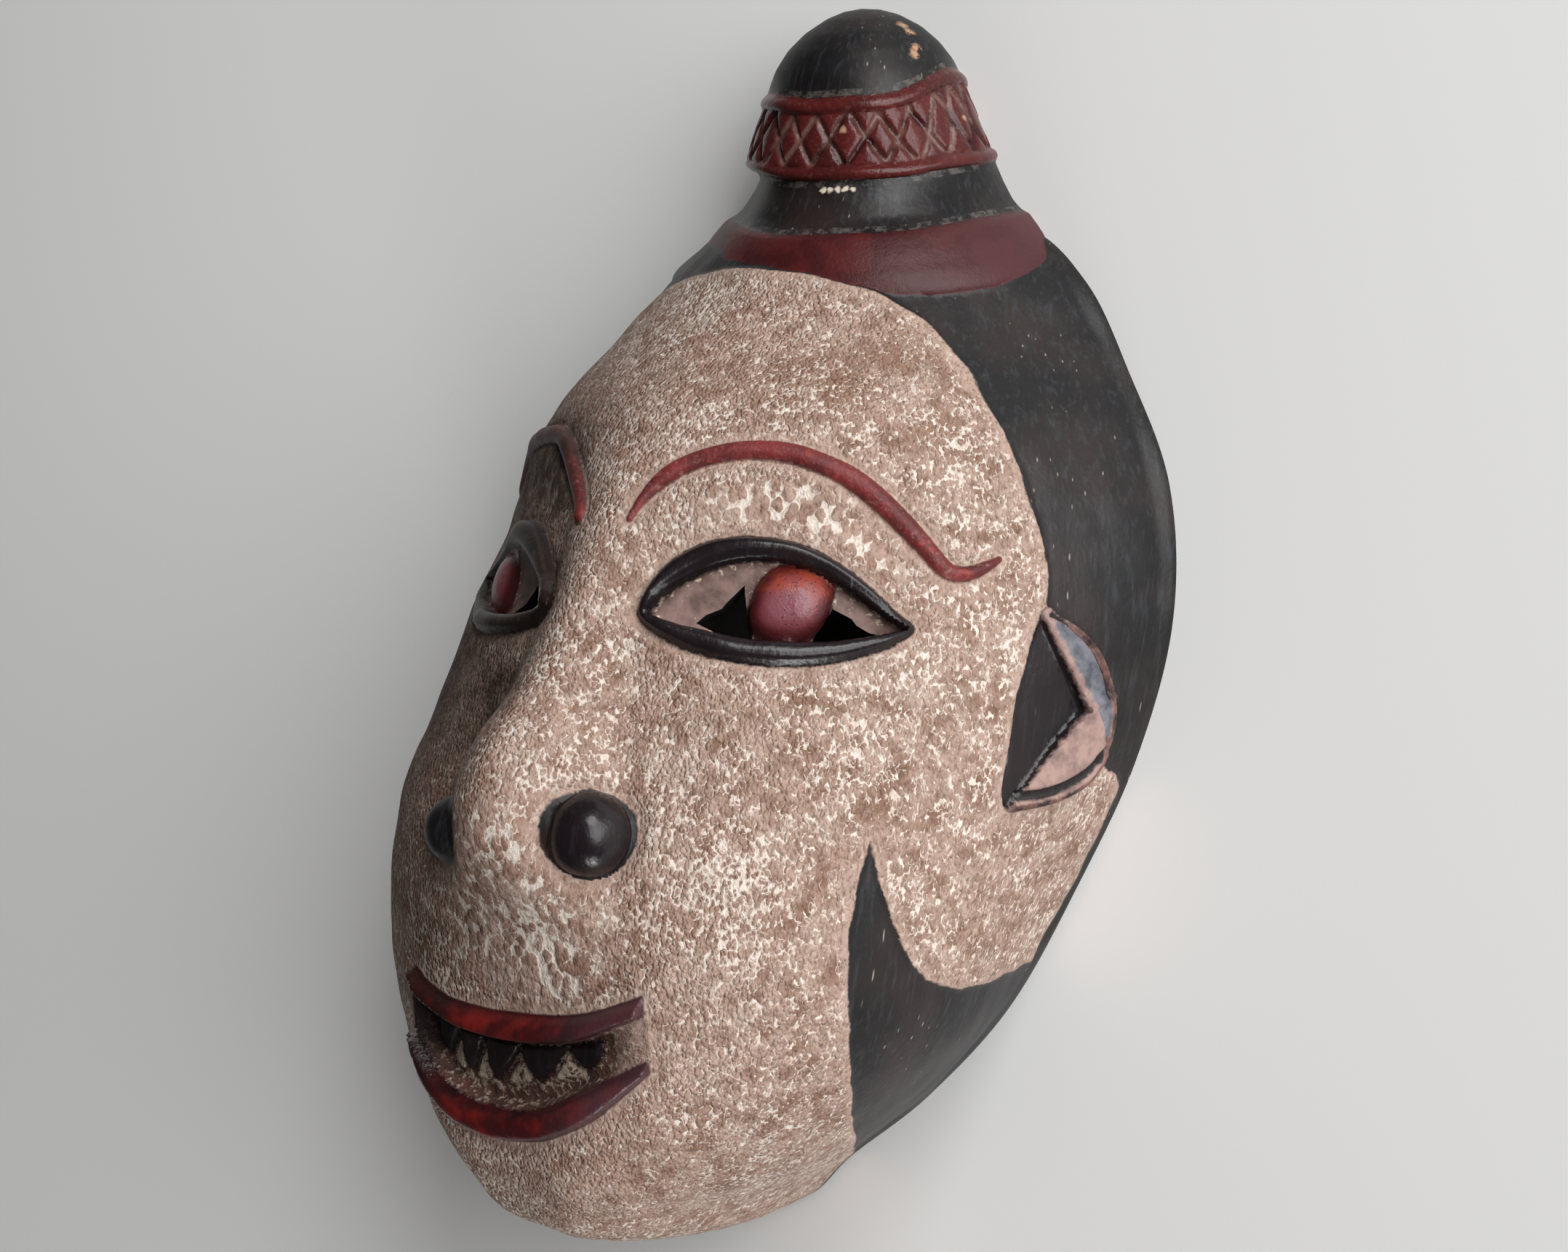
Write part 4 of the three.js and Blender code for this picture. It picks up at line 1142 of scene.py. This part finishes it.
def makeFacePaint():
    material, tree, place, at = newMaterial("kaolin_clay_and_paint_on_wood")
    x, y = (add(tree, "SeparateXYZ", {0: place}, axis) for axis in (0, 1))
    drift = add(tree, "TexNoise", {"Vector": place, "Scale": 1 / 1.8, "Detail": 2.0, "Roughness": 0.6})
    mottle = add(tree, "TexNoise", {"Vector": place, "Scale": 1 / 2.2, "Detail": 4.0, "Roughness": 0.68})
    soft = add(tree, "TexNoise", {"Vector": place, "Scale": 1 / 5.5, "Detail": 4.0, "Roughness": 0.6})
    inside = {name: edged(tree, at[name], drift, *edge) for name, edge in paintEdges.items()}

    clay, clayHeight = claySurface(tree, place, at)
    red, redHeight, redTone = redSurface(tree, place)
    black, blackHeight, _ = blackSurface(tree, place, at)
    atLips = add(tree, "MapRange", {0: y, 1: -80.0, 2: -90.0})
    red = coated(tree, red, (lipColour(tree, x, place, at, redTone), atLips))
    slate = coated(tree, washLook["slateDeep"], (washLook["slate"], soft, 0.36, 0.64))
    earRim = coated(tree, washLook["rimDark"], (washLook["rimWorn"], soft, 0.4, 0.6))
    # painted shade darkens the far side, over some real patina from handling and smoke
    shadeAndPatina = add(tree, "MapRange", {0: soft, 1: 0.3, 2: 0.6, 3: 1.15, 4: 0.75})
    shadeAndPatina = add(tree, "Math", {0: shadeAndPatina, 1: at["patinaAndShade"]}, operation="MULTIPLY", use_clamp=True)
    colour = coated(tree, black, (clay, inside["clay"]),
                    (washColour(tree, x, at, soft, mottle), inside["wash"]),
                    (slate, inside["slate"]), (earRim, inside["earRim"]),
                    (washLook["scuff"], inside["scuff"]),
                    (crustColour(tree, x, at, soft, mottle, clay), inside["crust"]),
                    (red, inside["red"]), (irisColour(tree, y, place, at), inside["iris"]),
                    (clayLook["patinaAndShade"], shadeAndPatina))

    crustHeight = add(tree, "Math", {0: mottle, 1: 2.8}, operation="MULTIPLY")
    height = coated(tree, blackHeight, (clayHeight, inside["clay"]), (crustHeight, inside["crust"]),
                    (redHeight, inside["red"]), (redHeight, inside["iris"]), kind="FLOAT")

    # the hair is duller than the lids, the teeth and the nostril balls
    hairRough = add(tree, "MapRange", {0: at["gloss"], 1: -1.0, 2: 0.0, 3: 0.46, 4: 0.27})
    redRough = add(tree, "MapRange", {0: atLips, 3: 0.5, 4: 0.24})
    irisRough = add(tree, "MapRange", {0: shadeAndPatina, 1: 0.0, 2: 0.3, 3: 0.24, 4: 0.6})
    rough = coated(tree, hairRough, (clayLook["roughness"], inside["clay"]), (0.6, inside["wash"]),
                   (0.7, inside["crust"]), (redRough, inside["red"]), (irisRough, inside["iris"]),
                   kind="FLOAT")
    finishMaterial(tree, colour, rough, height, clayLook["bump"], 0.36)
    return material


# Light tropical wood, hollowed with a gouge and left raw: matt, straight grained, brown from handling
woodLook = {
    "wood": "5d4230",
    "pale": "80604a",
    "grain": "412c20",
    "handled": "2d2019",
    "roughness": 0.75,
    "bump": 0.35,
}


def makeBareWood():
    look = woodLook
    material, tree, place, _ = newMaterial("hollowed_raw_wood")
    fibres = add(tree, "Mapping", {"Vector": place, "Scale": (1.0, 0.08, 1.0)})
    grain = add(tree, "TexNoise", {"Vector": fibres, "Scale": 1 / 1.8, "Detail": 4.0, "Roughness": 0.6})
    rings = add(tree, "TexNoise", {"Vector": fibres, "Scale": 1 / 9})
    hands = add(tree, "TexNoise", {"Vector": place, "Scale": 1 / 28, "Detail": 3.0})
    colour = coated(tree, look["wood"], (look["pale"], rings, 0.38, 0.62),
                    (look["grain"], grain, 0.45, 0.75, 0.0, 0.7),
                    (look["handled"], hands, 0.45, 0.7, 0.0, 0.6))
    finishMaterial(tree, colour, look["roughness"], grain, look["bump"])
    return material


# The topknot's black and red paint, rubbed with oil: the dome is satin, the band glossy, and dust has
# caught in the grooves and along the edges. Places on its skin are height, turn in degrees and radius.
knotLook = {
    "brimTop": 3.0,
    "brimFoot": -60.0,
    "bandFoot": 17.0,
    "bandTop": 39.6,
    "band": "3c1614",
    "groove": "74544c",
    "grooveDeep": "2e1412",
    "brim": "401315",
    "brimRed": "4f1919",
    "brimWorn": "4c2a2d",
    "hair": "302e34",
    "dust": "5a5552",
    "dots": [(14.2, 14 + 3.2 * number, 39.6) for number in range(5)],
    "dot": "d8cbb8",
    "chips": [(57.4, 84, 15.6), (55.4, 83, 18.4), (51, 76, 23.2), (49.6, 72, 24.4)],
    "bandChips": [(30.5, 22, 33.6), (30.5, 92, 34)],
    "chip": "b08c70",
    "bump": 0.4,
}


def knotPlace(spot):
    # where a place on the topknot's skin lies on the mask
    height, turn, radius = spot
    tilt, foot = knotPlacing()
    turn = np.radians(turn)
    return tuple(tilt @ np.array([np.sin(turn) * radius, height, np.cos(turn) * radius]) + foot)


def makeKnotPaint():
    look = knotLook
    material, tree, place, at = newMaterial("black_and_red_paint_on_wood")
    red, redHeight, _ = redSurface(tree, place)
    black, blackHeight, cloud = blackSurface(tree, place, at)
    drift = add(tree, "TexNoise", {"Vector": place, "Scale": 1 / 2.4, "Detail": 2.0, "Roughness": 0.6})
    patch = add(tree, "TexNoise", {"Vector": place, "Scale": 1 / 18, "Detail": 3.0, "Roughness": 0.6})
    level = at["knotHeight"]

    def between(low, high):
        # the paint of a zone between two heights
        above = add(tree, "Math", {0: level, 1: low}, operation="SUBTRACT")
        below = add(tree, "Math", {0: high, 1: level}, operation="SUBTRACT")
        inside = add(tree, "Math", {0: above, 1: below}, operation="MINIMUM")
        return edged(tree, inside, drift, 0.3, 0.4)

    inBand = between(look["bandFoot"], look["bandTop"])
    inBrim = between(look["brimFoot"], look["brimTop"])
    groove = coated(tree, look["grooveDeep"], (look["groove"], patch, 0.44, 0.56))
    band = coated(tree, red, (look["band"], 0.68), (groove, at["knotGroove"], 0.02, 0.45, 0.0, 0.8))
    x = add(tree, "SeparateXYZ", {0: place})
    nearEnd = add(tree, "Math", {0: patch, 1: 60.0, 2: x}, operation="MULTIPLY_ADD")
    brim = coated(tree, look["brim"], (look["brimRed"], patch, 0.46, 0.54),
                  (look["brimWorn"], nearEnd, 58.0, 84.0, 0.0, 0.7))
    skirt = edged(tree, at["knotSkirt"], drift, 0.5, 0.8)
    brim = coated(tree, look["hair"], (brim, skirt))

    # dust caught where the black meets the red
    thin = add(tree, "TexNoise", {"Vector": place, "Scale": 1 / 3.4, "Detail": 4.0, "Roughness": 0.7})
    thin = add(tree, "MapRange", {0: thin, 1: 0.48, 2: 0.62, 3: 0.0, 4: 0.8})
    dust = 0.0
    for middle, half in ((look["brimTop"] + 0.8, 0.7), (look["bandFoot"] - 1.0, 0.9),
                         (look["bandTop"] + 1.0, 0.9)):
        line = add(tree, "Math", {0: level, 1: middle, 2: half}, operation="COMPARE")
        dust = add(tree, "Math", {0: dust, 1: line}, operation="ADD")
    dust = add(tree, "Math", {0: dust, 1: thin}, operation="MULTIPLY")
    dots = spots(tree, place, [knotPlace(spot) for spot in look["dots"]], 0.9)
    chips = spots(tree, place, [knotPlace(spot) for spot in look["chips"]], 1.5, 1.6)
    ragged = add(tree, "TexNoise", {"Vector": place, "Scale": 1 / 2.4, "Detail": 3.0, "Roughness": 0.7})
    ragged = add(tree, "MapRange", {0: ragged, 1: 0.42, 2: 0.5})
    chips = add(tree, "Math", {0: chips, 1: ragged}, operation="MULTIPLY")
    bandChips = spots(tree, place, [knotPlace(spot) for spot in look["bandChips"]], 1.0, 0.8)
    chips = add(tree, "Math", {0: chips, 1: bandChips}, operation="MAXIMUM")
    colour = coated(tree, black, (brim, inBrim), (band, inBand), (look["dust"], dust), (look["dot"], dots),
                    (look["chip"], chips))

    inRed = add(tree, "Math", {0: inBand, 1: inBrim}, operation="MAXIMUM")
    height = coated(tree, blackHeight, (redHeight, inRed), kind="FLOAT")
    rough = add(tree, "MapRange", {0: cloud, 1: 0.35, 2: 0.7, 3: 0.33, 4: 0.44})
    # the dome is dustier than the foot
    rough = coated(tree, rough, (0.52, level, 40.0, 46.0), (0.42, inBrim), (0.23, inBand), kind="FLOAT")
    finishMaterial(tree, colour, rough, height, look["bump"], 0.3)
    return material


# Near-black painted shade on the walls of the pierced slits: thin and dull, so the slits read as deep holes
slitLook = {
    "holeShade": "0c0b0b",
    "brown": "1a1615",
    "roughness": 0.7,
    "bump": 0.2,
}


def makeSlitShade():
    look = slitLook
    material, tree, place, _ = newMaterial("painted_slit_shade")
    streak = add(tree, "TexNoise", {"Vector": place, "Scale": 1 / 3.0, "Detail": 3.0, "Roughness": 0.6})
    # painted shade: the slit walls are near black
    colour = coated(tree, look["holeShade"], (look["brown"], streak, 0.4, 0.7))
    finishMaterial(tree, colour, look["roughness"], streak, look["bump"], 0.3)
    return material


def makeMask():
    materials = [makeFacePaint(), makeBareWood(), makeKnotPaint(), makeSlitShade()]
    mask, surface = makeHead(materials)
    print("head carved:", len(mask.data.vertices), "points")
    steps = [("UNION", makeTopknot(materials))]
    for side in ("near", "far"):
        ball = nostrils[side]
        point, normal = surfaceSpot(surface, ball["ball"])
        middle = point - normal * ball["sunk"]
        rounded = makeBall("nostril_" + side, middle, ball["radius"], ball["gloss"], materials)
        steps.append(("UNION", rounded))
    steps.append(("DIFFERENCE", makeHollow(materials)))
    steps.append(("DIFFERENCE", makeBlock("behind_rim", *head["behind"], materials)))
    for number in range(2):
        for side, hand in (("near", 1), ("far", -1)):
            corners = [surfaceSpot(surface, (a * hand, b)) for a, b in eye["slits"][side][number]]
            slit = makePrism(f"slit_{side}_{number}", corners, *eye["slitDepth"], materials, slots["slit"])
            steps.append(("DIFFERENCE", slit))
    combined(mask, steps)
    fillNewPoints(mask.data)
    print("joined and cut:", len(mask.data.polygons), "faces")
    triangles = sum(len(face.vertices) - 2 for face in mask.data.polygons)
    thin = mask.modifiers.new("thin", "DECIMATE")
    thin.ratio = min(1.0, mesh["triangles"] / triangles)
    applied(mask)
    mask.data.shade_smooth()
    mask.data.set_sharp_from_angle(angle=np.radians(mesh["sharpAngle"]))
    mask.name = "carved_mask"
    mask.data.name = "carved_mask"
    print("mask finished:", len(mask.data.polygons), "faces")
    return mask


# Floor, lights and camera, in metres. The floor is matt paper, so it takes a soft shadow and no shine.
studio = {
    "floor": "f2f2f1",
    "floorHalf": 3.0,
    "camera": (0.3834, 0.0234, 0.5652),
    "right": (0.8058, 0.1265, -0.5786),
    "up": (-0.1268, 0.9911, 0.0400),
    "back": (0.5785, 0.0411, 0.8146),
    "lens": 50.69,
    "sensor": 36,
    "world": 0.07,
    "aim": (0, 0, 0.06),  # the lamps point here
    "worldColour": "e6e4e1",
    "lights": {  # place, size and power
        "key": ((2.3, 0.85, 1.25), 2.5, 80),
        "top": ((1.2, 2.05, 1.45), 1.1, 28),
        "low": ((0.84, -1.9, 0.38), 0.6, 14),
    },
}


def makeFloor():
    made = bpy.data.meshes.new("floor")
    half = studio["floorHalf"]
    corners = [(-half, -half, 0), (half, -half, 0), (half, half, 0), (-half, half, 0)]
    made.from_pydata(corners, [], [(0, 1, 2, 3)])
    material = bpy.data.materials.new("matt_paper")
    material.use_nodes = True
    tree = material.node_tree
    tree.nodes.clear()
    shader = add(tree, "BsdfPrincipled", {"Base Color": studio["floor"], "Roughness": 0.9})
    add(tree, "OutputMaterial", {0: shader})
    made.materials.append(material)
    floor = bpy.data.objects.new("floor", made)
    bpy.context.scene.collection.objects.link(floor)


def makeCamera():
    camera = bpy.data.objects.new("camera", bpy.data.cameras.new("camera"))
    camera.data.lens = studio["lens"]
    camera.data.sensor_width = studio["sensor"]
    camera.data.clip_start = 0.01
    turn = Matrix((studio["right"], studio["up"], studio["back"])).transposed().normalized()
    camera.matrix_world = Matrix.Translation(studio["camera"]) @ turn.to_4x4()
    bpy.context.scene.collection.objects.link(camera)
    bpy.context.scene.camera = camera


def makeLights():
    world = bpy.data.worlds.new("room")
    world.use_nodes = True
    background = world.node_tree.nodes["Background"]
    background.inputs["Color"].default_value = linear(studio["worldColour"])
    background.inputs["Strength"].default_value = studio["world"]
    bpy.context.scene.world = world
    for name, (place, size, power) in studio["lights"].items():
        light = bpy.data.lights.new(name, "AREA")
        light.shape = "DISK"
        light.size = size
        light.energy = power
        lamp = bpy.data.objects.new(name, light)
        lamp.location = place
        towards = Vector(place) - Vector(studio["aim"])
        lamp.rotation_euler = towards.to_track_quat("Z", "Y").to_euler()
        bpy.context.scene.collection.objects.link(lamp)
    bpy.context.scene.view_settings.view_transform = "Standard"


makeCamera()
print("camera set")
mask = makeMask()
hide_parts("mask")
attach(mask, "root")
makeFloor()
makeLights()
print("floor and lights set")
